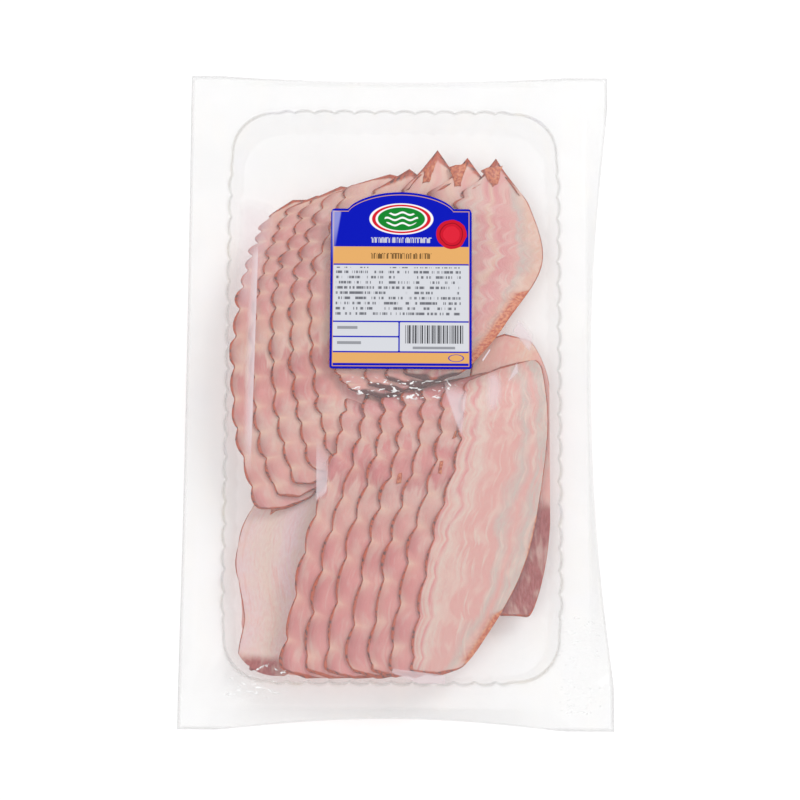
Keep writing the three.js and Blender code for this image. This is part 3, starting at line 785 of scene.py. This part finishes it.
def loft(rings, steps):
    """A surface through rings of points, closed with a flat face at its first ring."""
    bm = bmesh.new()
    bmesh.ops.create_circle(bm, cap_ends=False, radius=1, segments=steps)
    verts = list(bm.verts)
    verts.sort(key=lambda v: math.atan2(v.co.y, v.co.x) % (2 * math.pi))
    places = [4 * n / steps for n in range(steps)]
    for vert, place in zip(verts, places):
        vert.co = rings[0](place)
    edges = list(bm.edges)
    bmesh.ops.contextual_create(bm, geom=edges)
    order = {vert: n for n, vert in enumerate(verts)}
    for ring in rings[1:]:
        made = bmesh.ops.extrude_edge_only(bm, edges=edges)["geom"]
        edges = [g for g in made if isinstance(g, bmesh.types.BMEdge)]
        fresh = [g for g in made if isinstance(g, bmesh.types.BMVert)]
        following = {}
        for vert in fresh:
            for edge in vert.link_edges:
                other = edge.other_vert(vert)
                if other in order:
                    following[vert] = order[other]
        for vert, n in following.items():
            vert.co = ring(places[n])
        order = following
    bmesh.ops.recalc_face_normals(bm, faces=bm.faces)
    return bm


def tray_rings():
    fillet_top = PLASTIC + FLOOR_FILLET
    low = wall_inset(fillet_top)
    rings = [plain_ring(RIM_HALF_WIDTH - low - 6, RIM_HALF_LENGTH - low - 6, 14, PLASTIC)]
    for n in range(FILLET_STEPS + 1):
        turn = n / FILLET_STEPS * math.pi / 2
        inset = low + FLOOR_FILLET * (1 - math.sin(turn))
        depth = FLUTE_DEPTH * mix(0.4, 1, n / FILLET_STEPS)
        rings.append(fluted_ring(inset, depth, fillet_top - FLOOR_FILLET * math.cos(turn)))
    for n in range(1, WALL_STEPS):
        z = mix(fillet_top, LEDGE_LEVEL - 5, n / (WALL_STEPS - 1))
        rings.append(fluted_ring(wall_inset(z), FLUTE_DEPTH, z))
    for inset, share, below in LEDGE_RINGS:
        rings.append(fluted_ring(inset, FLUTE_DEPTH * share, LEDGE_LEVEL - below))
    rings.append(plain_ring(RIM_HALF_WIDTH + FLUTE_DEPTH, RIM_HALF_LENGTH + FLUTE_DEPTH, 25, LEDGE_LEVEL))
    for inset, z in STEP_RINGS:
        half_x, half_y = CREASE_HALF_WIDTH - inset, CREASE_HALF_LENGTH - inset
        rings.append(plain_ring(half_x, half_y, CREASE_RADIUS - inset / 2, z))
    rings.extend(flange_ring(share) for share in (0, 0.08, 0.3, 0.55, 0.8, 1))
    return rings


def make_tray():
    bm = loft(tray_rings(), TRAY_STEPS)
    tray = make_piece("clear_tray", bm, finishes["tray"], "tray_plastic", "tray")
    thicken(tray, PLASTIC)


# The bacon. CROWDING draws a slice's grid together at its edges, and its ends round off over two rows out
# of STACK_ROWS or UNDER_ROWS.
SLICE_GRID = (56, 150)
FLAP_STEPS = 14
CROWDING = 0.8
STACK_ROWS = 30
UNDER_ROWS = 10
UNDER_TIP = 4
UNDER_SHAPE = {
    "lobes": 5, "growth": 0, "depth": (1, 1), "curl": 0.4, "tuck": 0, "fold_shades": (0.3, 0.3), "shadows": (0, 0),
}

# How far a slice's face and its folded-over corners lie above its underside, and how thick its sheet is.
FACE_LEVEL = SLICE - 0.15
FLAP_LEVEL = SLICE + 0.2
SHEET = SLICE - 0.5

# How much narrower a slice is at its very end, how far its lower end rounds out, and how far its right
# edge wanders.
END_NARROWING = 0.14
END_ROUNDING = 3
RIGHT_WANDER = 0.9

# How far the marks reach in from the edges before they fade.
LOBE_REACH = 4
NOTCH_REACH = 5
END_REACH = 3

# How far from their upper ends the lower slices start to dip under the upper stack.
TUCK_REACH = 9


def stack_height(stack, number, lift, x, y):
    place = 1 + (x - stack["start"] - stack["lean"] * y) / stack["pitch"]
    off = (y - stack["middle"]) / stack["half_length"]
    lifted = lift * (1 - smooth_step(y, LIFT_FROM, LIFT_TO))
    return STEP * (number - place) - END_SAG * off * off + lifted


def mixed_points(first, last, share):
    return [Vector((mix(a[0], b[0], share), mix(a[1], b[1], share))) for a, b in zip(first, last)]


def slices_of(stack):
    """Each slice's number, its left and right edge, how far its tip stands up and its lift."""
    for run in stack["runs"]:
        numbers = run["numbers"]
        for number, tip in zip(numbers, run["tips"]):
            share = (number - numbers[0]) / (len(numbers) - 1)
            left = mixed_points(run["first_left"], run["last_left"], share)
            right = mixed_points(run["first_right"], run["last_right"], share)
            yield number, centripetal(left), centripetal(right), tip, run["lift"]


def lobe_at(along, stack, number):
    """How far a rib's lobe bulges at a place along the left edge, from 0 in a notch to 1."""
    lobes = along * (stack["lobes"] + stack["growth"] * along) + 0.4 * math.sin(2.4 * number)
    lobes += 0.22 * wander(along * 11, number * 3.1, 6.0)
    n = math.floor(lobes)
    share = lobes - n
    size = 0.78 + 0.6 * wander(n * 3.7, number * 5.3, 1.0)
    skew = 0.86 + 0.35 * wander(n * 5.1, number * 2.9, 4.0)
    return clamp(size, 0.35, 1.2) * math.sin(math.pi * share ** skew) ** 0.85


def slice_outline(left, right, tip, lobe, depth, across, along, rows):
    """A place of a slice seen from above, and its distances from the edges."""
    start, end = left(along), right(along)
    span = end - start
    unit = span.normalized()
    ends = min(along, 1 - along) * rows / 2
    inset = END_NARROWING * (1 - math.sqrt(1 - (1 - min(ends, 1)) ** 2))
    start = start - unit * mix(*depth, along) * lobe + span * inset
    end = end + unit * (RIGHT_WANDER * math.sin(9 * along)) - span * inset
    point = start + (end - start) * across
    middle = 1 - abs(2 * across - 1)
    point.y += tip * middle * clamp(1 - (1 - along) * rows / 2)
    rounding = middle * (END_ROUNDING + 0.5 * math.sin(7 * across + start.x))
    point.y -= rounding * clamp(1 - along * rows / 2)
    width = (end - start).length
    return point, width * across, width * (1 - across)


def left_edge_of(stack, number, edges, tip):
    """Finds how near a place is to a slice's lobed left edge."""
    left, right = edges
    count = 260
    tree = KDTree(count + 1)
    lobes = []
    for n in range(count + 1):
        along = n / count
        lobe = lobe_at(along, stack, number)
        point = slice_outline(left, right, tip, lobe, stack["depth"], 0, along, STACK_ROWS)[0]
        tree.insert((point.x, point.y, 0), n)
        lobes.append(lobe)
    tree.balance()

    def near(x, y):
        _, index, far = tree.find((x, y, 0))
        return far, lobes[index]

    return near


def add_flap(bm, corners, height):
    """A small folded-over piece between four corners, brown at its edge."""
    low_left, low_right, high_right, high_left = (Vector(corner) for corner in corners)
    cut, layers = bm.loops.layers.uv["cut"], {name: bm.verts.layers.float[name] for name in MARKS}
    made = bmesh.ops.create_grid(bm, x_segments=FLAP_STEPS, y_segments=FLAP_STEPS, size=1)["verts"]
    reach = min((low_right - low_left).length, (high_left - low_left).length)
    for vert in made:
        across, along = (vert.co.x + 1) / 2, (vert.co.y + 1) / 2
        low, high = low_left.lerp(low_right, across), high_left.lerp(high_right, across)
        at = low.lerp(high, along)
        swell = math.sin(math.pi * across) * math.sin(math.pi * along)
        at.x += 0.8 * wander(at.x, at.y, 4, 2.0)
        at.y += 0.8 * wander(at.y, at.x, 4, 3.0)
        edge = min(across, 1 - across, along, 1 - along) * reach
        vert.co = (at.x, at.y, height(at.x, at.y) + 0.8 * swell)
        vert[layers["rim"]] = edge
        vert[layers["line"]] = 1.0
        vert[layers["rind"]] = 0.35 + 0.4 * across
    for face in {face for vert in made for face in vert.link_faces}:
        for loop in face.loops:
            loop[cut].uv = loop.vert.co.xy / 100


def make_slice(name, edges, tip, finish, slot, height, stack, number, rows, lift=0, next_edge=None,
               rind=(), flaps=()):
    """One slice: lobed along its left edge, lowered at its rim, a little uneven all over."""
    left, right = edges
    length = (left(1) - left(0)).length
    depth, curl = stack["depth"], stack["curl"]

    def place(across, along):
        across = across - CROWDING * math.sin(2 * math.pi * across) / (2 * math.pi)
        lobe = lobe_at(along, stack, number)
        point, from_left, from_right = slice_outline(left, right, tip, lobe, depth, across, along, rows)
        from_end = min(along, 1 - along) * length
        edge = min(from_left, from_right, from_end)
        z = height(point.x, point.y)
        x, y = inside_wall(point.x, point.y, z)
        pillow = 0.35 * (lobe - 0.8) * math.exp(-from_left / 6)
        drop = curl * math.exp(-from_left / 2.2) + 0.5 * math.exp(-edge / 0.5)
        drop += stack["tuck"] * math.exp(-(1 - along) * length / TUCK_REACH)
        waves = 0.18 * wander(x, y, 14, number)
        at = Vector((x, y, z + FACE_LEVEL + pillow - drop + waves))
        shadow = 0.0
        if next_edge:
            far, beside = next_edge(point.x, point.y)
            shadow = beside * math.exp(-far / LOBE_REACH) * mix(*stack["shadows"], along)
        orange = max((
            width * smooth_step(along, low - 0.04, low) * smooth_step(along, high + 0.04, high)
            for low, high, width in rind
        ), default=0.0)
        lobed = lobe * math.exp(-from_left / LOBE_REACH)
        marks = {
            "rim": edge,
            "line": max(lobed, 0.75 * math.exp(-from_end / END_REACH)),
            "fold": lobed * mix(*stack["fold_shades"], along),
            "notch": clamp(1 - 1.3 * lobe) * math.exp(-from_left / NOTCH_REACH),
            "shadow": shadow,
            "end": lift * math.exp(-along * length / END_REACH) * (0.7 + 0.6 * wander(x, y, 7, number)),
            "rind": orange * math.exp(-from_right / max(orange, 0.1)),
        }
        return at, (from_left / 100, (along * length + 31 * number) / 100), marks

    bm = shaped_grid(*SLICE_GRID, place)
    for corners in flaps:
        add_flap(bm, corners, lambda x, y: height(x, y) + FLAP_LEVEL)
    thicken(make_piece(name + "_meat", bm, finish, slot, name), SHEET)


def make_stack(stack, finish_for, rind_of, flaps_of):
    laid = list(slices_of(stack))
    number, left, right, tip, lift = laid[0]
    lowest = min(
        stack_height(stack, number, lift, point.x, point.y)
        for n in range(31)
        for point in (left(n / 30), right(n / 30))
    )
    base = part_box(f"{stack['node']}_{number}")[0].z / MM - lowest
    edges = {number: left_edge_of(stack, number, (left, right), tip) for number, left, right, tip, _ in laid}
    for number, left, right, tip, lift in laid:
        make_slice(
            f"{stack['node']}_{number}", (left, right), tip, finish_for(number), "bacon",
            lambda x, y, n=number, up=lift: base + stack_height(stack, n, up, x, y),
            stack, number, STACK_ROWS, min(lift, 1), edges.get(number + 1), rind_of.get(number, ()),
            flaps_of.get(number, ()),
        )


def make_under_slices():
    for name, (left, right) in UNDER_SLICES.items():
        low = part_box(name)[0].z / MM
        make_slice(
            name, (centripetal(left), centripetal(right)), UNDER_TIP, finishes[name], "bacon_under",
            lambda x, y: low, UNDER_SHAPE, 3, UNDER_ROWS, flaps=UNDER_FLAPS.get(name, ()),
        )


BUNDLE_STEPS = 240

# The rings of one slice in a bundle: inset, and level above the slice's underside.
LAYER_RINGS = ((0.6, 0.15), (0, 0.6), (0, SLICE - 0.5), (0.6, SLICE - 0.05), (1.8, SLICE + 0.15))


def bundle_ring(curve, middle, inset, z, layer):
    def at(place):
        point = curve(place / 4 % 1)
        away = (point - middle).normalized()
        uneven = 0.9 * wander(point.x + 40 * layer, point.y, 9, layer) - inset
        x, y = inside_wall(point.x + away.x * uneven, point.y + away.y * uneven, z)
        return Vector((x, y, z))

    return at


def make_bundles():
    """The slices under each stack, piled flush, with a groove between each two."""
    for name, bundle in BUNDLES.items():
        outline, layers = bundle["outline"], bundle["layers"]
        curve = centripetal(outline, closed=True)
        middle = sum((Vector(p) for p in outline), Vector((0, 0))) / len(outline)
        bottom = PLASTIC + GAP
        rings = [bundle_ring(curve, middle, 1.2, bottom, 0)]
        for layer in range(layers):
            low = bottom + layer * LAYER_PITCH
            for inset, lift in LAYER_RINGS:
                rings.append(bundle_ring(curve, middle, inset, low + lift, layer))
        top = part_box(name)[1].z / MM
        rings[-1] = bundle_ring(curve, middle, 6, top, layers)
        bm = loft(rings, BUNDLE_STEPS)
        rim = [e for e in bm.edges if e.is_boundary]
        bmesh.ops.contextual_create(bm, geom=rim)
        bmesh.ops.recalc_face_normals(bm, faces=bm.faces)
        make_piece(name + "_meat", bm, finishes["bundle"], "bacon_under", name)


# The lid film.
FILM_GRID = (150, 230)
STRIP_SHARE = 0.03
SEALED_STRIP = 3
FILM_SMOOTHING = 3


def film_line(share, low, high, before, after):
    """A place across the film: the outer strip before its crease, the middle, the strip after it."""
    if share < STRIP_SHARE:
        return low, (STRIP_SHARE - share) / STRIP_SHARE * before
    if share > 1 - STRIP_SHARE:
        return high, (share - 1 + STRIP_SHARE) / STRIP_SHARE * after
    return mix(low, high, (share - STRIP_SHARE) / (1 - 2 * STRIP_SHARE)), 0.0


def film_wrinkles(x, y):
    """Fine tension folds: parallel to the seal at the ends, and fanned out at the corners."""
    from_end = min(y - CREASE_BOTTOM, CREASE_TOP - y)
    from_side = min(x - CREASE_LEFT, CREASE_RIGHT - x)
    corner = math.exp(-math.hypot(from_end, from_side) / 22)
    angle = math.atan2(from_end + 4, from_side + 4)
    fan = corner * 0.35 * math.sin(26 * angle + 2 * wander(x, y, 15, 2.0))
    seal = 0.12 * math.exp(-from_end / 7) * math.sin(from_end * 1.3 + 2.5 * wander(x, y, 30, 5.0))
    broad = 0.25 * wander(x, y, 26, 1.0)
    return fan + seal + broad * smooth_step(min(from_end, from_side), 2, 20)


def film_place(height):
    def place(across, along):
        x, over_x = film_line(across, CREASE_LEFT, CREASE_RIGHT, LEFT["width"], RIGHT["width"])
        y, over_y = film_line(along, CREASE_BOTTOM, CREASE_TOP, BOTTOM["width"], TOP["width"])
        side_x = FLANGE.index(LEFT if across < 0.5 else RIGHT)
        side_y = FLANGE.index(BOTTOM if along < 0.5 else TOP)
        lift = GAP + FILM
        arc_y = (y - CREASE_BOTTOM - CREASE_RADIUS) / (2 * (CREASE_HALF_LENGTH - CREASE_RADIUS))
        arc_x = (x - CREASE_LEFT - CREASE_RADIUS) / (2 * (CREASE_HALF_WIDTH - CREASE_RADIUS))
        bend_x = bend_at(side_x, arc_y) if over_x and not over_y else 0
        bend_y = bend_at(side_y, arc_x) if over_y and not over_x else 0
        sign_x = -1 if across < 0.5 else 1
        sign_y = -1 if along < 0.5 else 1
        drop = over_x * math.sin(bend_x) + over_y * math.sin(bend_y)
        out_x = sign_x * (over_x * math.cos(bend_x) + lift * math.sin(bend_x))
        out_y = sign_y * (over_y * math.cos(bend_y) + lift * math.sin(bend_y))
        if over_x or over_y:
            z = TRAY_HEIGHT + lift * math.cos(bend_x + bend_y) - drop
        else:
            z = (height(x, y) or TRAY_HEIGHT + lift) + 0.1 + film_wrinkles(x, y)
        at = Vector((x + out_x, y + out_y, z))
        return at, (at.x / 100, at.y / 100), {}

    return place


def make_film():
    bm = shaped_grid(*FILM_GRID, film_place(surface_of("lid_film")))
    inner = [
        v for v in bm.verts
        if CREASE_LEFT + SEALED_STRIP < v.co.x < CREASE_RIGHT - SEALED_STRIP
        and CREASE_BOTTOM + SEALED_STRIP < v.co.y < CREASE_TOP - SEALED_STRIP
    ]
    for _ in range(FILM_SMOOTHING):
        bmesh.ops.smooth_vert(bm, verts=inner, factor=0.5, use_axis_z=True)
    film = make_piece("film_sheet", bm, finishes["film"], "lid_film", "lid_film")
    thicken(film, FILM)


# The label.
LABEL_GRID = (110, 150)
LABEL_SMOOTHING = 6


def arch_height(x):
    off = (x - ARCH_MIDDLE) / ARCH_HALF
    return LABEL["arch"] * (1 - off * off) ** ARCH_SHAPE if abs(off) < 1 else 0


def make_label():
    height = surface_of("label")

    def place(across, along):
        x = mix(LABEL["left"], LABEL["right"], across)
        from_side = min(x - LABEL["left"], LABEL["right"] - x)
        inner = LABEL_CORNER - min(from_side, LABEL_CORNER)
        cut = LABEL_CORNER - math.sqrt(LABEL_CORNER**2 - inner**2)
        top = LABEL["shoulder"] + arch_height(x) - cut
        y = mix(LABEL["bottom"] + cut * 0.4, top, along)
        inner_x = clamp(x, LABEL["left"] + 0.5, LABEL["right"] - 0.5)
        inner_y = clamp(y, LABEL["bottom"] + 0.5, LABEL["shoulder"] - 0.5)
        z = (height(inner_x, inner_y) or TRAY_HEIGHT + 2) + 0.12 * wander(x, y, 24, 3.0)
        return Vector((x, y, z)), (x / 100, y / 100), {}

    bm = shaped_grid(*LABEL_GRID, place)
    for _ in range(LABEL_SMOOTHING):
        bmesh.ops.smooth_vert(bm, verts=bm.verts, factor=0.5, use_axis_z=True)
    label = make_piece("printed_label", bm, finishes["label"], "label_paper", "label")
    thicken(label, LABEL["thickness"])


def panel_group():
    """How far a place lies outside a rounded panel, less than 0 inside it."""
    group, given, wanted = new_group(
        "panel",
        {"Place": "Vector", "Middle": "Vector", "Half": "Vector", "Radius": "Float"},
        {"Distance": "Float"},
    )
    here, middle, half = (separate(group, given[name]) for name in ("Place", "Middle", "Half"))
    overs = []
    for axis in (0, 1):
        away = size_of(group, minus(group, here[axis], middle[axis]))
        straight = minus(group, half[axis], given["Radius"])
        overs.append(minus(group, away, straight))
    outer = [calculate(group, "MAXIMUM", over, 0.0) for over in overs]
    squares = [times(group, over, over) for over in outer]
    corner = calculate(group, "SQRT", plus(group, *squares))
    inner = calculate(group, "MINIMUM", calculate(group, "MAXIMUM", *overs), 0.0)
    far = minus(group, plus(group, corner, inner), given["Radius"])
    feed(group, wanted["Distance"], far)
    return group


def label_finish():
    """The print: blue and gold fields, pale boxes with rows of marks, a plain oval and a round dot."""
    material, tree, shader = new_finish("label_print")
    place = object_place(tree)
    x, y, _ = separate(tree, place)
    blue, gold, pale = colour(0, 18, 184), colour(228, 172, 104), colour(214, 216, 222)
    soft = 0.12

    def panel(left, right, bottom, top, radius):
        middle = ((left + right) / 2, (bottom + top) / 2, 0)
        half = ((right - left) / 2, (top - bottom) / 2, 0)
        return use_group(
            tree, groups["panel"], Place=place, Middle=middle, Half=half, Radius=radius
        )["Distance"]

    def filled(distance):
        return rise(tree, distance, soft, -soft)

    def outline(distance, inset, width):
        off = size_of(tree, plus(tree, distance, inset))
        return rise(tree, off, width / 2 + soft, width / 2 - soft)

    def ellipse(centre_x, centre_y, half_x, half_y):
        across = calculate(tree, "DIVIDE", minus(tree, x, centre_x), half_x)
        up = calculate(tree, "DIVIDE", minus(tree, y, centre_y), half_y)
        squares = [times(tree, value, value) for value in (across, up)]
        far = calculate(tree, "SQRT", plus(tree, *squares))
        return times(tree, minus(tree, far, 1.0), min(half_x, half_y))

    def below_arch():
        off = calculate(tree, "DIVIDE", minus(tree, x, ARCH_MIDDLE), ARCH_HALF)
        room = minus(tree, 1.0, times(tree, off, off), clamped=True)
        arch = times(tree, calculate(tree, "POWER", room, ARCH_SHAPE), LABEL["arch"])
        top = plus(tree, arch, LABEL["shoulder"])
        return minus(tree, y, top)

    sides = panel(LABEL["left"], LABEL["right"], LABEL["bottom"], 140, 1.5)
    edge = calculate(tree, "MAXIMUM", sides, below_arch())
    shade = paint(tree, outline(edge, 1.5, 0.35), blue, gold)
    for boxes, ink in ((GOLD_BANDS, gold), (PALE_BOXES, pale)):
        for box in boxes:
            shade = paint(tree, filled(panel(*box)), shade, ink)

    row_pitch = 2.9
    rows = calculate(tree, "DIVIDE", y, row_pitch)
    in_row = calculate(tree, "FRACT", rows)
    row_mask = rise(tree, size_of(tree, minus(tree, in_row, 0.5)), 0.3, 0.2)
    combined = tree.nodes.new("ShaderNodeCombineXYZ")
    feed(tree, combined.inputs[0], x)
    feed(tree, combined.inputs[1], times(tree, calculate(tree, "FLOOR", rows), 7.3))
    marks = rise(tree, unevenness(tree, combined.outputs[0], 1.1, 1.0), 0.44, 0.52)
    words = rise(tree, unevenness(tree, combined.outputs[0], 0.22, 0.0), 0.36, 0.42)
    dashes = times(tree, row_mask, times(tree, marks, words))
    written = times(tree, dashes, filled(panel(*ROWS_BOX)))
    shade = paint(tree, times(tree, written, 0.8), shade, colour(56, 58, 70))

    bars_across = tree.nodes.new("ShaderNodeCombineXYZ")
    feed(tree, bars_across.inputs[0], x)
    bars = rise(tree, unevenness(tree, bars_across.outputs[0], 1.4, 2.0), 0.47, 0.53)
    barred = times(tree, bars, filled(panel(*BARS_BOX)))
    shade = paint(tree, barred, shade, colour(26, 26, 34))
    for line in SHORT_LINES:
        shade = paint(tree, times(tree, filled(panel(*line)), 0.6), shade, colour(70, 72, 84))
    shade = paint(tree, outline(ellipse(*SMALL_OVAL), 0.2, 0.3), shade, blue)

    for line, ink in ((PALE_LINE, pale), (BROWN_LINE, colour(84, 62, 34))):
        spread = times(tree, marks, filled(panel(*line)))
        shade = paint(tree, times(tree, spread, 0.85), shade, ink)

    oval = ellipse(*OVAL)
    for inset, ink in ((0, WHITE), (0.7, colour(214, 24, 44)), (1.7, WHITE), (2.3, colour(16, 132, 44))):
        shade = paint(tree, filled(plus(tree, oval, inset)), shade, ink)
    swell = times(tree, calculate(tree, "SINE", times(tree, x, 0.75)), 0.7)
    for level in WAVE_LEVELS:
        off = minus(tree, minus(tree, y, level), swell)
        wave = rise(tree, size_of(tree, off), 0.6, 0.45)
        wave = times(tree, wave, filled(plus(tree, oval, 4.2)))
        shade = paint(tree, wave, shade, WHITE)

    dot = ellipse(*DOT)
    scallop = times(tree, streaky(tree, place, (0.16, 0.16, 0)), 1.6)
    dot = plus(tree, dot, minus(tree, scallop, 0.8))
    shade = paint(tree, filled(dot), shade, colour(206, 20, 44))
    shade = paint(tree, outline(dot, 2.0, 0.5), shade, colour(150, 8, 30))
    shade = paint(tree, filled(plus(tree, dot, 3.6)), shade, colour(222, 34, 56))

    # A painted reflection: a pale blue band along the label's left side, where the film above it catches the
    # light.
    gleam = facet(tree, place, ((-36.6, 70), (-35.6, 72), (-31, 102), (-36.6, 103)), (10, 1, 0.5, 0.3))
    shade = paint(tree, times(tree, gleam, 0.42), shade, colour(210, 214, 250))

    feed(tree, shader.inputs["Base Color"], shade)
    fibre = unevenness(tree, place, 0.9, 3.0)
    feed(tree, shader.inputs["Roughness"], calculate(tree, "MULTIPLY_ADD", fibre, 0.12, 0.3))
    feed(tree, shader.inputs["Normal"], bump(tree, fibre, 0.1, 0.1))
    shader.inputs["Specular IOR Level"].default_value = 0.08
    return material


# Finishes.
def under_bands(first, second):
    return ((0.0, first), (0.4, second), (0.7, first), (1.0, second))


groups = {"mottling": mottling_group(), "rim": rim_group(), "panel": panel_group()}
finishes = {
    "tray": clear_finish("tray_plastic", colour(212, 211, 207), 0.04, 0.14, 0.1, iridescence=0.5),
    "film": clear_finish(
        "film", colour(204, 203, 204), 0.1, 0.3, 0.06, painted_reflections=PAINTED_REFLECTIONS, glints=GLINTS, sealed=True
    ),
    "label": label_finish(),
    "upper": bacon_finish(
        "upper_bacon",
        ((0.0, LEAN), (0.14, LEAN), (0.3, LEAN_PALE), (0.44, PEACH), (0.6, FAT), (0.8, LEAN), (1.0, FAT)),
        0.35, width=26, fold=1.4, shadow=0.5, streaks=0.3,
        zones=(
            (0.0, LEAN), (0.14, LEAN_PALE), (0.26, FAT), (0.34, LEAN), (0.46, LEAN_DEEP), (0.49, FAT),
            (0.56, PEACH), (0.64, LEAN), (0.76, LEAN_PALE), (0.84, LEAN), (0.92, LEAN_PALE), (1.0, PEACH),
        ),
    ),
    "lower": bacon_finish(
        "lower_bacon",
        ((0.0, LEAN), (0.15, LEAN), (0.3, LEAN_PALE), (0.42, LEAN), (0.7, FAT), (1.0, LEAN)),
        0.22, width=34, fold=1.1, shadow=0.65, streaks=0.35,
        zones=(
            (0.0, LEAN), (0.3, LEAN), (0.4, LEAN_PALE), (0.52, FAT), (0.56, LEAN_DEEP), (0.66, LEAN),
            (0.7, FAT), (0.82, LEAN_PALE), (0.9, LEAN), (1.0, LEAN_DEEP),
        ),
    ),
    "upper_front": bacon_finish(
        "upper_front_bacon",
        (
            (0.0, LEAN), (0.12, LEAN_PALE), (0.2, FAT), (0.26, LEAN_PALE), (0.34, FAT),
            (0.4, LEAN_PALE), (0.46, LEAN), (0.5, PEACH), (0.54, LEAN), (0.64, LEAN_PALE), (0.68, FAT_GREY),
            (0.8, PEACH), (1.0, PEACH),
        ),
        0.3, across="share", turn=0.25, shadow=0, streaks=0.6, dusk=0.17,
    ),
    "lower_front": bacon_finish(
        "lower_front_bacon",
        (
            (0.0, LEAN), (0.14, LEAN), (0.17, FAT), (0.2, LEAN_PALE), (0.26, FAT), (0.29, LEAN),
            (0.33, FAT), (0.42, LEAN_PALE), (0.56, LEAN_PALE), (0.62, FAT_GREY), (0.7, LEAN_PALE),
            (0.78, FAT_GREY), (1.0, FAT_GREY),
        ),
        0.3, across="share", turn=0.08, fold=0.4, shadow=0, streaks=0.8, dusk=0.08,
    ),
    "under_slice_left": bacon_finish(
        "pale_under_bacon", under_bands(PINK_FAT, FAT), 0.3, width=40, rim=0.8, deep_end=0.08
    ),
    "under_slice_right": bacon_finish(
        "dark_under_bacon", under_bands(PEACH, LEAN_PALE), 0.3, width=40, rim=1.6, deep_end=0.3
    ),
    "bundle": bacon_finish("bundle_bacon", under_bands(LEAN_PALE, FAT), 0.3, width=40, rim=0),
}


# The slice on top of each stack, which has a finish of its own.
UPPER_TOP, LOWER_TOP = 9, 7


def upper_finish(number):
    return finishes["upper_front"] if number == UPPER_TOP else finishes["upper"]


def lower_finish(number):
    return finishes["lower_front"] if number == LOWER_TOP else finishes["lower"]


# Where the smoked rind shows along a slice's right edge, as shares of its length, and its width.
UPPER_RIND = {UPPER_TOP: ((0.06, 0.5, 3.2),)}
LOWER_RIND = {LOWER_TOP: ((0.04, 0.16, 2.2), (0.36, 0.44, 0.8))}

# The folded-over corners at the upper tips, the small orange bits on the lower stack, and the pale end
# that shows below the upper stack.
UPPER_FLAPS = {
    7: (((13, 122), (17, 123), (21, 136), (14, 130)),),
    8: (((31, 121), (34, 121), (38, 135), (28, 132)),),
    9: (((52, 121), (55, 123), (58, 134), (46, 131)),),
}
LOWER_BITS = {
    4: (((-0.6, -47.4), (2.6, -46.6), (2.4, -41), (0.4, -41.6)),),
    6: (
        ((21.4, -41.6), (23.6, -42), (25, -35), (23.2, -35.2)),
        ((30, -22.6), (31.6, -22), (32, -18), (31, -18)),
    ),
}
UNDER_FLAPS = {"under_slice_left": (((-69, -62), (-47, -53), (-44, -46), (-68, -50)),)}


# The stage. Each light has its place in metres, its size and its power.
LIGHTS = {"key": ((0.9, 0.9, 1.3), 0.7, 10), "overhead": ((-0.5, -0.4, 1.6), 0.9, 6)}
WORLD_LIGHT = 0.66
FLOOR_GLOW = 0.12


def make_floor():
    bm = bmesh.new()
    bmesh.ops.create_grid(bm, x_segments=1, y_segments=1, size=4)
    bmesh.ops.translate(bm, vec=(0, 0, -0.0004), verts=bm.verts)
    mesh = bpy.data.meshes.new("floor")
    bm.to_mesh(mesh)
    bm.free()
    material, tree, shader = new_finish("pale_floor")
    shader.inputs["Base Color"].default_value = (0.95, 0.95, 0.95, 1)
    shader.inputs["Roughness"].default_value = 0.7
    shader.inputs["Specular IOR Level"].default_value = 0.1
    shader.inputs["Emission Color"].default_value = (1, 1, 1, 1)
    shader.inputs["Emission Strength"].default_value = FLOOR_GLOW
    mesh.materials.append(material)
    floor = bpy.data.objects.new("floor", mesh)
    bpy.context.scene.collection.objects.link(floor)


def add_light(name, place, size, power):
    data = bpy.data.lights.new(name, "AREA")
    data.shape = "SQUARE"
    data.size = size
    data.energy = power
    light = bpy.data.objects.new(name, data)
    light.location = place
    light.rotation_mode = "QUATERNION"
    light.rotation_quaternion = Vector(place).to_track_quat("Z", "Y")
    bpy.context.scene.collection.objects.link(light)


def light_the_scene():
    world = bpy.data.worlds.new("white_studio")
    world.use_nodes = True
    background = world.node_tree.nodes["Background"]
    background.inputs["Color"].default_value = (1, 1, 1, 1)
    background.inputs["Strength"].default_value = WORLD_LIGHT
    scene = bpy.context.scene
    scene.world = world
    scene.view_settings.view_transform = "Standard"
    scene.cycles.transparent_max_bounces = 24
    for name, (place, size, power) in LIGHTS.items():
        add_light(name, place, size, power)


def set_camera():
    data = bpy.data.cameras.new("camera")
    data.lens = CAMERA["lens"]
    data.sensor_width = 36
    camera = bpy.data.objects.new("camera", data)
    angle = math.radians(CAMERA["elevation"])
    back = Vector((0, -math.cos(angle), math.sin(angle)))
    aim = Vector(CAMERA["aim"]) * MM
    camera.location = aim + back * CAMERA["distance"] * MM
    camera.rotation_mode = "QUATERNION"
    roll = Quaternion((0, 0, 1), math.radians(CAMERA["roll"]))
    camera.rotation_quaternion = back.to_track_quat("Z", "Y") @ roll
    bpy.context.scene.collection.objects.link(camera)
    bpy.context.scene.camera = camera


set_camera()
light_the_scene()
make_floor()
make_tray()
make_bundles()
make_under_slices()
make_stack(UPPER_STACK, upper_finish, UPPER_RIND, UPPER_FLAPS)
make_stack(LOWER_STACK, lower_finish, LOWER_RIND, LOWER_BITS)
make_film()
make_label()
